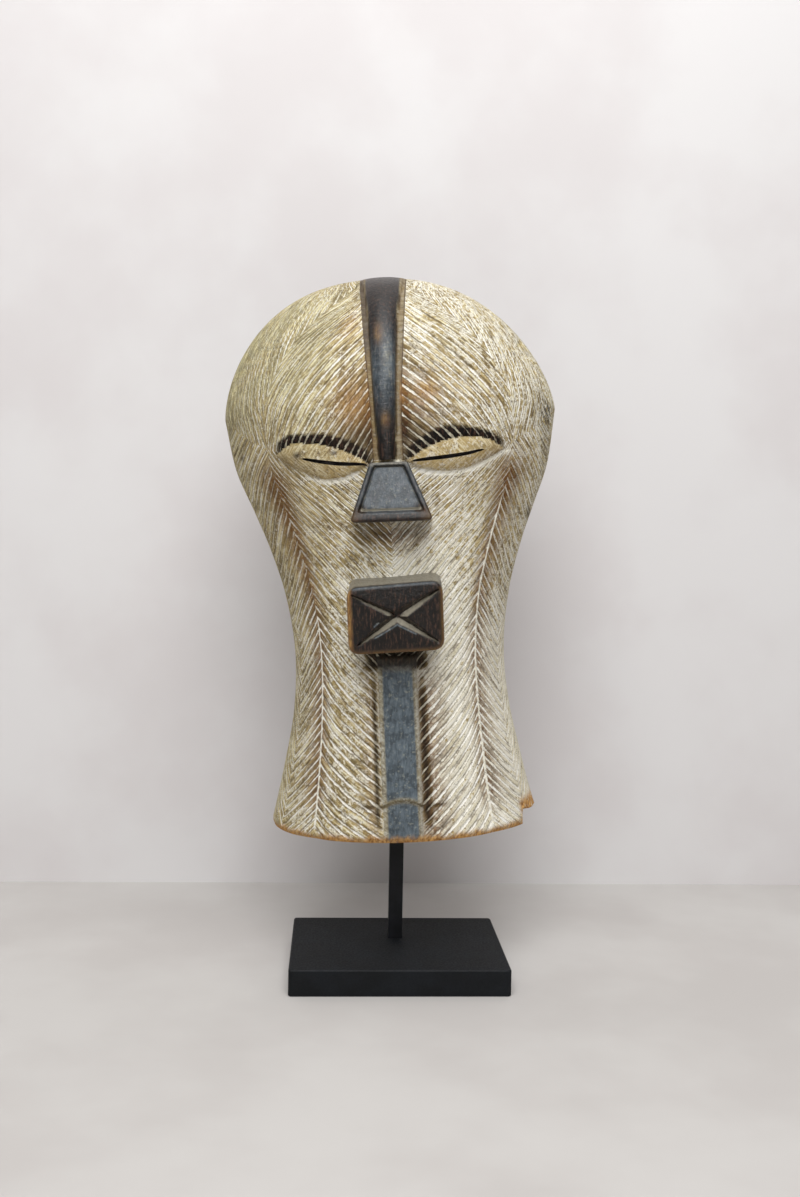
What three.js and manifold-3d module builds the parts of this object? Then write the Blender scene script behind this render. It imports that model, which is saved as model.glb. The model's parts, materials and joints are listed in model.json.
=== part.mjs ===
// Carved wooden mask of the kifwebe kind, on a stand of a square steel rod and a flat foot.
// Millimetres, +Z up, +Y away from the viewer; the origin is the centre of the foot's underside.
// The mask is shaped in a frame of its own: x to the viewer's right, y = 0 at its open back and
// negative towards the viewer, z = 0 at its lower edge. It is then leaned and turned onto the rod.

import * as THREE from 'three';
import { mergeVertices } from 'three/addons/utils/BufferGeometryUtils.js';
import Module from 'manifold-3d';

const wasm = await Module();
wasm.setup();

// Stand
const BASE = { width: 150, depth: 120, height: 18, corner: 1.5, edge: 0.8 };
const ROD = { side: 10, x: -0.4, y: 15, top: 480 };
const ROD_LET_IN = 8;
const FIT_GAP = 0.3;

// Mask: overall sizes
const MASK = { height: 404, wall: 12, crownWall: 15 };
const PLACE = { x: 7.8, y: 62, z: 97, yaw: -3.4, lean: -3.1 };

// Mask: half-width at the open back, what the viewer's right side has more, and depth in front of
// the back, all against height
const HALF_WIDTHS = [[0, 101], [42, 90], [84, 81], [127.5, 78.2], [170, 83.5], [205, 93.5],
  [235, 105], [265, 117], [303, 124]];
const RIGHT_EXTRA = [[20, 0], [70, 1.5], [235, 1.5], [275, 0]];
const DEPTHS = [[0, 94], [127, 91], [220, 94], [262, 97], [295, 98]];
// Height where the head starts to close, and how each part of its outline closes above it
const CROWN_START = DEPTHS[DEPTHS.length - 1][0];
const CROWN_LEFT = { fall: 1.7, full: 2.5 };
const CROWN_RIGHT = { fall: 1.5, full: 2.2 };
const CROWN_FRONT = { fall: 2.1, full: 2.1 };

// Mask: lines that the carving follows, against height
const MIDLINE = [[0, 0.5], [158, -0.8], [221, -0.8], [300, -3.2], [404, -2.5]];
const PANEL_EDGE = [[0, 14.4], [120, 13.6], [262, 10.5], [300, 11], [350, 14], [395, 16.8]];
const SPINE_ANGLE = [[0, 40], [40, 41.5], [80, 43.8], [110, 44.6], [170, 44.8], [200, 46],
  [240, 47], [275, 46.2], [310, 44], [345, 37.5], [365, 30], [385, 20], [404, 14]];

// Mask: carved forms
const CREST = {
  foot: 263, height: 3.8, border: -0.9, atCrown: 0.3,
  shares: [[263, 0.54], [285, 0.63], [350, 0.65], [385, 0.76], [400, 0.93]],
};
const STRIPE = { top: 128, height: 1.8, stepZ: 28, stepDrop: 1.7 };
const VALLEY = { depth: 1.4, half: 5, top: 268 };
const BROW = { overhang: 1.6 };
const LID = { bulge: 3.4 };

// Eyes: x of the corners, x of the slit's ends, and three lines as points (x, height)
const EYES = [
  {
    inner: 12, outer: 79.5, slit: [14.5, 65],
    upper: [[12, 263], [27.5, 272], [41.4, 276.8], [55.3, 278.1], [69.4, 276.3], [79.5, 270]],
    line: [[12, 262.6], [26.6, 263.5], [40, 264.6], [53.6, 266.6], [64, 269], [79.5, 270]],
    lower: [[12, 262], [16.8, 258], [30.4, 255], [47.7, 255.4], [61.9, 260.3], [79.5, 269.8]],
  },
  {
    inner: -15, outer: -80, slit: [-61, -15.8],
    upper: [[-80, 271], [-69, 277.4], [-58, 277.4], [-44, 275.2], [-27, 268.8], [-15, 262]],
    line: [[-80, 270.8], [-60.7, 267], [-46.9, 264], [-33.3, 262.1], [-15, 261.7]],
    lower: [[-80, 270.4], [-62.7, 259.1], [-48.7, 252.8], [-34.7, 252], [-20.7, 257.4], [-15, 261]],
  },
];
const SLIT = { height: 2.4, fall: 0.36, before: 9, behind: 22 };
const NOSE = { top: 261.5, bottom: 221.5, topLeft: -13.8, topRight: 12, bottomLeft: -28,
  bottomRight: 27.8, yTop: -102.5, yBottom: -116, root: -84, rim: 5.6, recess: 1.4 };
const MOUTH = { left: -31.8, right: 32.2, lowLeft: 133.4, lowRight: 134.8, highLeft: 177.8,
  highRight: 181, corner: 8.4, front: -121.5, root: -84, bevel: 2.2, undercut: 7, topRise: 6 };
const CROSS = {
  centre: [1.2, 158.3], depth: 2.4,
  arms: [
    { tip: [-28, 172.7], wide: 5 }, { tip: [29, 174.6], wide: 8.2 },
    { tip: [-25, 139.8], wide: 7.2 }, { tip: [28, 140.4], wide: 7.2 },
  ],
};
const CHIP = {
  left: 86.5, corner: 97, right: 112, low: -5, front: -62, back: 3, atRim: 2, rise: 0.22, cornerRise: 10,
};
const HOLE = { x: 104, y: -12, z: 228, radius: 2 };

const DEG = Math.PI / 180;

// A smooth curve through points (position, value), with slopes taken from the neighbours.
function curveThrough(points) {
  const last = points.length - 1;
  const slope = points.map((p, i) => {
    const before = points[Math.max(i - 1, 0)];
    const after = points[Math.min(i + 1, last)];
    return (after[1] - before[1]) / (after[0] - before[0]);
  });
  return (at) => {
    if (at <= points[0][0]) return points[0][1];
    if (at >= points[last][0]) return points[last][1];
    const i = points.findIndex((p) => p[0] >= at) - 1;
    const [x0, y0] = points[i];
    const [x1, y1] = points[i + 1];
    const step = x1 - x0;
    const t = (at - x0) / step;
    const t2 = t * t;
    const t3 = t2 * t;
    return y0 * (2 * t3 - 3 * t2 + 1) + slope[i] * step * (t3 - 2 * t2 + t)
      + y1 * (3 * t2 - 2 * t3) + slope[i + 1] * step * (t3 - t2);
  };
}

const halfWidthBelow = curveThrough(HALF_WIDTHS);
const rightExtra = curveThrough(RIGHT_EXTRA);
const depthBelow = curveThrough(DEPTHS);
const midline = curveThrough(MIDLINE);
const panelEdge = curveThrough(PANEL_EDGE);
const spineAngle = curveThrough(SPINE_ANGLE);
const crestShare = curveThrough(CREST.shares);

// Above its widest height the head closes as a rounded crown. Its shape says how early it falls away
// and how full it stays near the top.
function crown(below, points, shape, z, top) {
  const [start, size] = points[points.length - 1];
  if (z <= start) return below(z);
  const t = Math.min((z - start) / (top - start), 1);
  return size * (1 - t ** shape.fall) ** (1 / shape.full);
}

function halfWidth(side, z, top) {
  return side < 0 ? crown(halfWidthBelow, HALF_WIDTHS, CROWN_LEFT, z, top)
    : crown(halfWidthBelow, HALF_WIDTHS, CROWN_RIGHT, z, top) + rightExtra(z);
}

// A point of the head's plain form: a half-ellipse at each height, inset by the wall for the hollow.
function headPoint(angle, z, top, wall) {
  const across = halfWidth(angle, z, top);
  const deep = crown(depthBelow, DEPTHS, CROWN_FRONT, z, top);
  const shrinkX = Math.max(across - wall, 0) / Math.max(across, 1e-9);
  const shrinkY = Math.max(deep - wall, 0) / Math.max(deep, 1e-9);
  return new THREE.Vector3(
    across * shrinkX * Math.sin(angle * DEG),
    -deep * shrinkY * Math.cos(angle * DEG),
    z,
  );
}

const skinPoint = (angle, z) => headPoint(angle, z, MASK.height, 0);

const smoothStep = (from, to, at) => THREE.MathUtils.smoothstep(at, from, to);
const bell = (offset, half) => Math.exp(-((offset / half) ** 2));

for (const eye of EYES) {
  eye.upperAt = curveThrough(eye.upper);
  eye.lineAt = curveThrough(eye.line);
  eye.lowerAt = curveThrough(eye.lower);
}

const shareAlong = (eye, x) => (x - eye.inner) / (eye.outer - eye.inner);

// Eyelid: how far along (0 at the inner corner, 1 at the outer) and how high in the almond a point is.
function inEye(eye, x, z) {
  const t = shareAlong(eye, x);
  if (t <= 0 || t >= 1) return null;
  const line = eye.lineAt(x);
  const reach = z > line ? eye.upperAt(x) - line : line - eye.lowerAt(x);
  return { t, share: Math.abs(z - line) / Math.max(reach, 0.5) };
}

function lidRise(x, z) {
  for (const eye of EYES) {
    const place = inEye(eye, x, z);
    if (place && place.share < 1) {
      return LID.bulge * Math.sqrt(1 - place.share ** 2) * (4 * place.t * (1 - place.t)) ** 0.4;
    }
  }
  return 0;
}

// The brow stands a little proud above the lids, with its edge along the upper lid line.
function browRise(x, z) {
  let rise = 0;
  for (const eye of EYES) {
    const t = shareAlong(eye, x);
    if (t < -0.1 || t > 1.05) continue;
    const line = eye.upperAt(x);
    const fade = smoothStep(-0.1, 0.05, t) * (1 - smoothStep(0.9, 1.05, t));
    rise = BROW.overhang * fade * smoothStep(line, line + 3, z) * (1 - smoothStep(line + 4, line + 40, z));
  }
  return rise;
}

// The crest is lower where it runs over the crown.
function crestFade(z) {
  const deep = crown(depthBelow, DEPTHS, CROWN_FRONT, z, MASK.height);
  return THREE.MathUtils.lerp(CREST.atCrown, 1, smoothStep(28, 65, deep)) * smoothStep(3, 14, deep);
}

// Height of the carving above the plain form, for column w (0 middle, 1 panel edge, 2 spine, 3 rim).
function relief(w, x, z) {
  const across = Math.abs(w);
  let rise = 0;
  if (z >= CREST.foot && across < 1) {
    const t = across / crestShare(z);
    rise += t < 1 ? CREST.height * crestFade(z) * (1 - t ** 1.7) ** 0.6 : CREST.border;
  }
  if (z <= STRIPE.top && across <= 1) {
    rise += STRIPE.height - (z < STRIPE.stepZ ? STRIPE.stepDrop : 0);
  }
  const valleyReach = 1 - smoothStep(VALLEY.top - 40, VALLEY.top, z);
  rise -= VALLEY.depth * valleyReach * bell((across - 2) * 40, VALLEY.half * 1.4);
  return rise + lidRise(x, z) + browRise(x, z);
}

// Columns across one half of the face, and rows up it, closer together where the carving is finer.
const COLUMNS = [0, 0.22, 0.42, 0.55, 0.62, 0.67, 0.8, 0.97, 1.03, 1.16, 1.32, 1.48, 1.64, 1.8, 1.9, 2,
  2.1, 2.25, 2.45, 2.65, 2.82, 2.94, 3];

function rowHeights() {
  const rows = [0, 3];
  for (let z = 10; z < 236; z += 8.4) rows.push(z);
  rows.push(STRIPE.stepZ - 0.4, STRIPE.stepZ + 0.4, STRIPE.top, STRIPE.top + 0.8);
  for (let z = 238; z < 292; z += 2.7) rows.push(z);
  rows.push(CREST.foot - 0.5, CREST.foot + 0.5);
  const steps = 24;
  for (let i = 0; i <= steps; i++) {
    rows.push(CROWN_START + (MASK.height - CROWN_START) * Math.sin((i / steps) * 90 * DEG));
  }
  return rows.sort((a, b) => a - b);
}

// Angle around the head of column w at a height, so that columns keep to the carved lines.
function columnAngle(w, z) {
  const side = Math.sign(w) || 1;
  const across = Math.abs(w);
  const half = Math.max(halfWidth(side, z, MASK.height), 1);
  const middle = Math.asin(THREE.MathUtils.clamp(midline(z) / half, -0.3, 0.3)) / DEG;
  const edge = Math.asin(Math.min(panelEdge(z) / half, 0.85)) / DEG;
  const offset = THREE.MathUtils.lerp(middle, 0, Math.min(across / 2, 1));
  const spine = Math.max(spineAngle(z), edge + 4);
  const angle = across <= 1 ? across * edge
    : across <= 2 ? THREE.MathUtils.lerp(edge, spine, across - 1)
      : THREE.MathUtils.lerp(spine, 90, across - 2);
  return side * angle + offset;
}

function carvedPoint(w, z) {
  const angle = columnAngle(w, z);
  const point = skinPoint(angle, z);
  const small = 0.05;
  const around = skinPoint(angle + small, z).sub(skinPoint(angle - small, z));
  const low = Math.max(z - small, 0);
  const high = Math.min(z + small, MASK.height - 1e-4);
  const up = skinPoint(angle, high).sub(skinPoint(angle, low));
  const normal = around.cross(up).normalize();
  const atRim = 1 - smoothStep(2.8, 3, Math.abs(w));
  const atTop = 1 - smoothStep(MASK.height - 1.5, MASK.height, z);
  point.addScaledVector(normal, relief(w, point.x, z) * atRim * atTop);
  point.y = Math.min(point.y, 0);
  if (Math.abs(w) >= 3) point.y = 0;
  return point;
}

// Builds a closed mesh from rows of points that each run from the left rim to the right rim. The flat
// back and the flat underside are filled, and the last row is a single point.
function closedForm(rows, tip) {
  const points = [];
  const faces = [];
  const count = rows[0].length;
  rows.forEach((row) => row.forEach((p) => points.push(p.x, p.y, p.z)));
  const at = (row, column) => row * count + column;
  for (let r = 0; r + 1 < rows.length; r++) {
    for (let c = 0; c + 1 < count; c++) {
      faces.push(at(r, c), at(r, c + 1), at(r + 1, c + 1), at(r, c), at(r + 1, c + 1), at(r + 1, c));
    }
    faces.push(at(r, 0), at(r + 1, 0), at(r + 1, count - 1));
    faces.push(at(r, 0), at(r + 1, count - 1), at(r, count - 1));
  }
  const tipIndex = points.length / 3;
  points.push(tip.x, tip.y, tip.z);
  const lastRow = rows.length - 1;
  for (let c = 0; c + 1 < count; c++) faces.push(at(lastRow, c), at(lastRow, c + 1), tipIndex);
  faces.push(at(lastRow, count - 1), at(lastRow, 0), tipIndex);
  const middle = tipIndex + 1;
  points.push(0, -2, rows[0][0].z);
  for (let c = 0; c + 1 < count; c++) faces.push(at(0, c + 1), at(0, c), middle);
  faces.push(at(0, 0), at(0, count - 1), middle);
  const geometry = new THREE.BufferGeometry();
  geometry.setAttribute('position', new THREE.Float32BufferAttribute(points, 3));
  geometry.setIndex(faces);
  return geometry;
}

function solidFrom(geometry) {
  const bare = geometry.clone();
  bare.deleteAttribute('normal');
  bare.deleteAttribute('uv');
  const merged = mergeVertices(bare, 1e-4);
  const mesh = new wasm.Mesh({
    numProp: 3,
    vertProperties: Float32Array.from(merged.attributes.position.array),
    triVerts: Uint32Array.from(merged.index.array),
  });
  mesh.merge();
  return new wasm.Manifold(mesh);
}

function geometryFrom(solid) {
  const mesh = solid.getMesh();
  const geometry = new THREE.BufferGeometry();
  geometry.setAttribute('position', new THREE.BufferAttribute(mesh.vertProperties, 3));
  geometry.setIndex(new THREE.BufferAttribute(mesh.triVerts, 1));
  geometry.computeVertexNormals();
  return geometry;
}

// A box between two corners, as a solid.
function boxSolid(low, high) {
  const size = high.map((value, i) => value - low[i]);
  const box = new THREE.BoxGeometry(...size);
  box.translate(...low.map((value, i) => value + size[i] / 2));
  return solidFrom(box);
}

// A solid through rings with the same number of corners, the front ring first. Each ring is listed
// anticlockwise as it is seen from the front, and the first and last are filled.
function loft(rings) {
  const count = rings[0].length;
  const back = (rings.length - 1) * count;
  const faces = [];
  for (let i = 1; i + 1 < count; i++) faces.push(0, i, i + 1, back, back + i + 1, back + i);
  for (let from = 0; from < back; from += count) {
    for (let i = 0; i < count; i++) {
      const next = (i + 1) % count;
      faces.push(from + i, from + count + i, from + count + next);
      faces.push(from + i, from + count + next, from + next);
    }
  }
  const geometry = new THREE.BufferGeometry();
  geometry.setAttribute('position', new THREE.Float32BufferAttribute(rings.flat(2), 3));
  geometry.setIndex(faces);
  return orientedSolid(geometry);
}

function headSolid() {
  const rowsAt = rowHeights().filter((z) => z < MASK.height - 0.01);
  const columns = [...COLUMNS.slice(1).reverse().map((w) => -w), ...COLUMNS];
  const rows = rowsAt.map((z) => columns.map((w) => carvedPoint(w, z)));
  return solidFrom(closedForm(rows, new THREE.Vector3(0, 0, MASK.height)));
}

// The hollow follows the outside at the wall's thickness and is open behind and below.
function hollowSolid() {
  const top = MASK.height - MASK.crownWall;
  const angles = [];
  for (let angle = -90; angle <= 90; angle += 9) angles.push(angle);
  const heights = [-1];
  for (let z = 14; z < CROWN_START - 5; z += 23) heights.push(z);
  for (let i = 0; i < 9; i++) heights.push(CROWN_START + (top - CROWN_START) * Math.sin(i * 10 * DEG));
  const rows = heights.map((z) => angles.map((angle) => {
    const p = headPoint(angle, Math.max(z, 0), top, MASK.wall);
    if (Math.abs(angle) === 90) p.y = 0;
    p.y += 1;
    p.z = z;
    return p;
  }));
  return solidFrom(closedForm(rows, new THREE.Vector3(0, 1, top)));
}

function noseSolid() {
  const { top, bottom, topLeft, topRight, bottomLeft, bottomRight, yTop, yBottom, root, rim, recess } = NOSE;
  const outline = (inset, lift) => {
    const low = bottom + inset * 1.2;
    const high = top - inset * 0.7;
    const corner = (z, lowX, highX, inward) => {
      const t = (z - bottom) / (top - bottom);
      return [THREE.MathUtils.lerp(lowX, highX, t) + inward * inset,
        THREE.MathUtils.lerp(yBottom, yTop, t) - lift, z];
    };
    return [corner(low, bottomLeft, topLeft, 1), corner(low, bottomRight, topRight, -1),
      corner(high, bottomRight, topRight, -1), corner(high, bottomLeft, topLeft, 1)];
  };
  const front = outline(0, 0);
  const back = front.map(([px, , pz]) => [px, root, pz]);
  return loft([front, back]).subtract(loft([outline(rim - 0.8, 2), outline(rim, -recess)]));
}

// The outline of the mouth with rounded corners, inset all round and raised or lowered at its edges.
function mouthOutline(y, inset, low, high) {
  const { left, right, lowLeft, lowRight, highLeft, highRight, corner } = MOUTH;
  const corners = [[left + inset, lowLeft + inset + low], [right - inset, lowRight + inset + low],
    [right - inset, highRight - inset + high], [left + inset, highLeft - inset + high]];
  const ring = [];
  const radius = corner - inset;
  corners.forEach((at, i) => {
    const here = new THREE.Vector2(...at);
    const towards = (other) => new THREE.Vector2(...other).sub(here).setLength(radius).add(here);
    const arc = new THREE.QuadraticBezierCurve(towards(corners[(i + 3) % 4]), here,
      towards(corners[(i + 1) % 4]));
    ring.push(...arc.getPoints(4).map((p) => [p.x, y, p.y]));
  });
  return ring;
}

function mouthSolid() {
  const { front, root, bevel, undercut, topRise } = MOUTH;
  let solid = loft([
    mouthOutline(front, bevel, 0, 0), mouthOutline(front + bevel * 0.3, bevel * 0.3, 0, 0),
    mouthOutline(front + bevel, 0, 0, 0), mouthOutline(root, 0, undercut, topRise),
  ]);
  for (const arm of CROSS.arms) solid = solid.subtract(crossArm(arm));
  return solid;
}

// One arm of the cross on the mouth: a groove of V section, wide at the centre, fine at the tip.
function crossArm({ tip, wide }) {
  const front = MOUTH.front;
  const far = new THREE.Vector3(tip[0], front, tip[1]);
  const centre = new THREE.Vector3(CROSS.centre[0], front, CROSS.centre[1]);
  const along = far.clone().sub(centre).normalize();
  centre.addScaledVector(along, -1.8);
  const across = new THREE.Vector3(-along.z, 0, along.x);
  const section = (from, half, depth) => [[half, -0.6], [-half, -0.6], [0, depth]].map(([reach, deep]) =>
    from.clone().addScaledVector(across, reach).add(new THREE.Vector3(0, deep, 0)).toArray());
  return loft([section(centre, wide / 2, CROSS.depth), section(far, 0.7, 0.4)]);
}

// A closed mesh as a solid, turned outside in first if its volume comes out negative.
function orientedSolid(geometry) {
  const position = geometry.attributes.position;
  const index = geometry.index.array;
  const corner = (i) => new THREE.Vector3().fromBufferAttribute(position, index[i]);
  let volume = 0;
  for (let i = 0; i < index.length; i += 3) {
    volume += corner(i).dot(corner(i + 1).cross(corner(i + 2)));
  }
  if (volume < 0) geometry.index.array.reverse();
  return solidFrom(geometry);
}

// The slit pierces the lid and the wall behind it, sloping down inwards so that no light shows.
function slitSolid(eye) {
  const steps = 8;
  const rings = [];
  for (let i = 0; i <= steps; i++) {
    const t = i / steps;
    const x = THREE.MathUtils.lerp(...eye.slit, t);
    const line = eye.lineAt(x);
    const half = 0.1 + (SLIT.height / 2) * (4 * t * (1 - t)) ** 0.4;
    const across = halfWidth(x, line, MASK.height);
    const skinY = -depthBelow(line) * Math.sqrt(1 - (x / across) ** 2);
    const lidY = skinY - LID.bulge;
    const heightAt = (y) => line - SLIT.fall * (y - lidY);
    const [near, far] = [skinY - SLIT.before, skinY + SLIT.behind];
    rings.push([[x, near, heightAt(near) - half], [x, near, heightAt(near) + half],
      [x, far, heightAt(far) + half], [x, far, heightAt(far) - half]]);
  }
  return loft(rings);
}

// The break at the lower right corner: it rises from the rim at the back towards the front.
function chipSolid() {
  const { left, corner, right, low, front, back, atRim, rise, cornerRise } = CHIP;
  return loft([front, back].map((y) => {
    const top = atRim - rise * y;
    return [[left, y, low], [right, y, low], [right, y, top + cornerRise], [corner, y, top], [left, y, top]];
  }));
}

const toWorld = new THREE.Matrix4().compose(
  new THREE.Vector3(PLACE.x, PLACE.y, PLACE.z),
  new THREE.Quaternion().setFromEuler(new THREE.Euler(0, PLACE.lean * DEG, PLACE.yaw * DEG, 'ZYX')),
  new THREE.Vector3(1, 1, 1),
);

// The upper end of the rod sits in a blind socket under the crown.
function socketSolid() {
  const half = ROD.side / 2 + FIT_GAP;
  const box = new THREE.BoxGeometry(2 * half, 2 * half, 60);
  box.translate(ROD.x, ROD.y, ROD.top + FIT_GAP - 30);
  box.applyMatrix4(toWorld.clone().invert());
  return solidFrom(box);
}

function holeSolid() {
  const pin = new THREE.CylinderGeometry(HOLE.radius, HOLE.radius, 40, 10);
  pin.rotateZ(Math.PI / 2);
  pin.translate(HOLE.x, HOLE.y, HOLE.z);
  return solidFrom(pin);
}

function maskGeometry() {
  let solid = headSolid().add(noseSolid()).add(mouthSolid()).subtract(hollowSolid());
  for (const eye of EYES) solid = solid.subtract(slitSolid(eye));
  solid = solid.subtract(chipSolid()).subtract(holeSolid()).subtract(socketSolid());
  return geometryFrom(solid);
}

function baseGeometry() {
  const { width, depth, height, corner, edge } = BASE;
  const w = width / 2 - edge;
  const d = depth / 2 - edge;
  const outline = new THREE.Shape();
  outline.moveTo(-w + corner, -d);
  outline.lineTo(w - corner, -d);
  outline.absarc(w - corner, -d + corner, corner, -Math.PI / 2, 0);
  outline.absarc(w - corner, d - corner, corner, 0, Math.PI / 2);
  outline.absarc(-w + corner, d - corner, corner, Math.PI / 2, Math.PI);
  outline.absarc(-w + corner, -d + corner, corner, Math.PI, Math.PI * 1.5);
  const board = new THREE.ExtrudeGeometry(outline, {
    depth: height - 2 * edge, bevelEnabled: true, bevelThickness: edge, bevelSize: edge,
    bevelSegments: 1, curveSegments: 2,
  });
  board.translate(0, 0, edge);
  const half = ROD.side / 2 + FIT_GAP;
  const socket = boxSolid([ROD.x - half, ROD.y - half, height - ROD_LET_IN],
    [ROD.x + half, ROD.y + half, height + 1]);
  return geometryFrom(solidFrom(board).subtract(socket));
}

function rodGeometry() {
  const bottom = BASE.height - ROD_LET_IN + FIT_GAP;
  const bar = new THREE.BoxGeometry(ROD.side, ROD.side, ROD.top - bottom);
  bar.translate(0, 0, bottom + (ROD.top - bottom) / 2);
  return bar;
}

function part(name, geometry, color, roughness, metalness) {
  const mesh = new THREE.Mesh(geometry, new THREE.MeshStandardMaterial({ color, roughness, metalness }));
  mesh.name = name;
  return mesh;
}

const mask = part('mask', maskGeometry(), 0xb9aa8c, 0.75, 0);
mask.position.set(PLACE.x, PLACE.y, PLACE.z);
mask.rotation.set(0, PLACE.lean * DEG, PLACE.yaw * DEG, 'ZYX');

const rod = part('stand_rod', rodGeometry(), 0x1c1c20, 0.5, 0.6);
rod.position.set(ROD.x, ROD.y, 0);

const base = part('stand_base', baseGeometry(), 0x26262a, 0.6, 0);

const songyeMask = new THREE.Group();
songyeMask.add(mask, rod, base);

export default songyeMask;
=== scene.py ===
# %% [markdown]
# # A carved wooden mask on its stand
# The object is a hollow mask cut from one block of light wood, covered with carved grooves and rubbed
# with white clay. It is held up by a square steel rod on a flat painted foot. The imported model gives
# the place and size of all three, so it is loaded first and never moved.

# %% Load the frame
import functools
import json
import math
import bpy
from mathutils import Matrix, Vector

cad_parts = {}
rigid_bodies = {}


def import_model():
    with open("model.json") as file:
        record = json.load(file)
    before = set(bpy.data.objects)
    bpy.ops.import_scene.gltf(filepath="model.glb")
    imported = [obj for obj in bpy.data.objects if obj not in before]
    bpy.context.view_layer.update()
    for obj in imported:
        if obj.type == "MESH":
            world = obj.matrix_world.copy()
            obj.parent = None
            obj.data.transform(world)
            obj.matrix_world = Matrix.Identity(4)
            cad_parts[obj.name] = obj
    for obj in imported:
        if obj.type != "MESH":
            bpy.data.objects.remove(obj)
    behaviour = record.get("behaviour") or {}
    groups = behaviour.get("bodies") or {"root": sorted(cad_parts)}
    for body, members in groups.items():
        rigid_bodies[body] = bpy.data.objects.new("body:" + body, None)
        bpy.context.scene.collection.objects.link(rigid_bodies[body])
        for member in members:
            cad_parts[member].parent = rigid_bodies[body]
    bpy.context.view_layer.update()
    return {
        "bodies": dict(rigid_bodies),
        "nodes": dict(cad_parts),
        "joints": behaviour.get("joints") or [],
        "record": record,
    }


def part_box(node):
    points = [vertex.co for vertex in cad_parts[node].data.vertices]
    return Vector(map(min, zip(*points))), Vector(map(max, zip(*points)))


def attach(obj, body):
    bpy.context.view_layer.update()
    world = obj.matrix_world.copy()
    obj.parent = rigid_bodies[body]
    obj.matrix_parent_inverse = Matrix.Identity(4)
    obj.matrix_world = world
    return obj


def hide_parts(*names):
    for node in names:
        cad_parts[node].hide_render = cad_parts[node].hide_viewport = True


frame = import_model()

from types import SimpleNamespace
import bpy
import numpy as np
from mathutils import Matrix, Vector

# %% [markdown]
# ## Units and the mask's own frame
# The carving is worked out in millimetres in the mask's own frame: x to the viewer's right, y = 0 at
# the open back and negative towards the viewer, z = 0 at the lower edge. One matrix then leans and
# turns it onto the rod. It could be worked out in place, but this keeps every carved size easy to read.

# %% Driving sizes of the mask
MM = 0.001
MASK_HEIGHT = 404.0
WALL = 12.0
CROWN_WALL = 15.0
PLACE = (7.8, 62.0, 97.0)
YAW, LEAN = math.radians(-3.4), math.radians(-3.1)

# Each pair is a height and a value, in mm, or in degrees for the spines. A crown's pair says how early
# it falls away and how full it stays.
HALF_WIDTHS = [(0, 101), (42, 90), (84, 81), (127.5, 78.2), (170, 83.5), (205, 93.5), (235, 105),
               (265, 117), (303, 124)]
RIGHT_EXTRA = [(20, 0), (70, 1.5), (235, 1.5), (275, 0)]
DEPTHS = [(0, 94), (127, 91), (220, 94), (262, 97), (295, 98)]
CROWN_LEFT, CROWN_RIGHT, CROWN_FRONT = (1.7, 2.5), (1.5, 2.2), (2.1, 2.1)

MIDLINE = [(0, 0.5), (158, -0.8), (221, -0.8), (300, -3.2), (404, -2.5)]
PANEL_EDGE = [(0, 14.4), (120, 13.6), (262, 10.5), (300, 11), (350, 14), (395, 16.8)]
SPINE_ANGLE = [(0, 40), (40, 41.5), (80, 43.8), (110, 44.6), (170, 44.8), (200, 46), (240, 47),
               (275, 46.2), (310, 44), (345, 37.5), (365, 30), (385, 20), (404, 14)]


def curve_through(points):
    """A function for the smooth curve through points (position, value).

    Between two points it is the cubic that has each point's slope, and a point's slope is that of
    the straight line between its two neighbours.
    """
    xs, ys = np.array(points, float).T
    before = np.maximum(np.arange(len(xs)) - 1, 0)
    after = np.minimum(np.arange(len(xs)) + 1, len(xs) - 1)
    slopes = (ys[after] - ys[before]) / (xs[after] - xs[before])

    def value(at):
        at = np.clip(at, xs[0], xs[-1])
        i = np.clip(np.searchsorted(xs, at) - 1, 0, len(xs) - 2)
        step = xs[i + 1] - xs[i]
        t = (at - xs[i]) / step
        return (ys[i] * (2 * t**3 - 3 * t**2 + 1) + slopes[i] * step * (t**3 - 2 * t**2 + t)
                + ys[i + 1] * (3 * t**2 - 2 * t**3) + slopes[i + 1] * step * (t**3 - t**2))

    return value


half_width_below = curve_through(HALF_WIDTHS)
right_extra = curve_through(RIGHT_EXTRA)
depth_below = curve_through(DEPTHS)
midline = curve_through(MIDLINE)
panel_edge = curve_through(PANEL_EDGE)
spine_angle = curve_through(SPINE_ANGLE)
print("height, widest half-width and depth in mm:", MASK_HEIGHT, HALF_WIDTHS[-1][1], DEPTHS[-1][1])

# %% [markdown]
# ## The plain form of the head
# Seen from below, the mask is half an ellipse at every height. Its width and depth change with
# height, and above the widest place it closes as a rounded crown. It could be sculpted, but a formula
# can be measured and changed. A superellipse is used for the crown, because two numbers then say how
# early it falls away and how full it stays near the top.

# %% Half-ellipses stacked up the height


def smooth(low, high, at):
    """0 below low, 1 above high, and an S-shaped rise between: 3t^2 - 2t^3 of the share t."""
    t = np.clip((at - low) / (high - low), 0.0, 1.0)
    return t * t * (3 - 2 * t)


def near(value, centre, width):
    """A soft spot: 1 at the centre, falling as a bell of the given width."""
    return np.exp(-((value - centre) / width)**2)


def closing(below, points, shape, z, top):
    """The curve below its last point, and above it size * (1 - t^fall)^(1/full), t from 0 to 1."""
    fall, full = shape
    start, size = points[-1]
    t = np.clip((z - start) / (top - start), 0.0, 1.0)
    return np.where(z <= start, below(z), size * (1 - t**fall)**(1 / full))


def half_width(side, z, top=MASK_HEIGHT):
    """Half-width at a height, on the left (side below 0) or on the slightly wider right."""
    shape = [np.where(side < 0, left, right) for left, right in zip(CROWN_LEFT, CROWN_RIGHT)]
    return closing(half_width_below, HALF_WIDTHS, shape, z, top) + np.where(side < 0, 0, right_extra(z))


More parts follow.
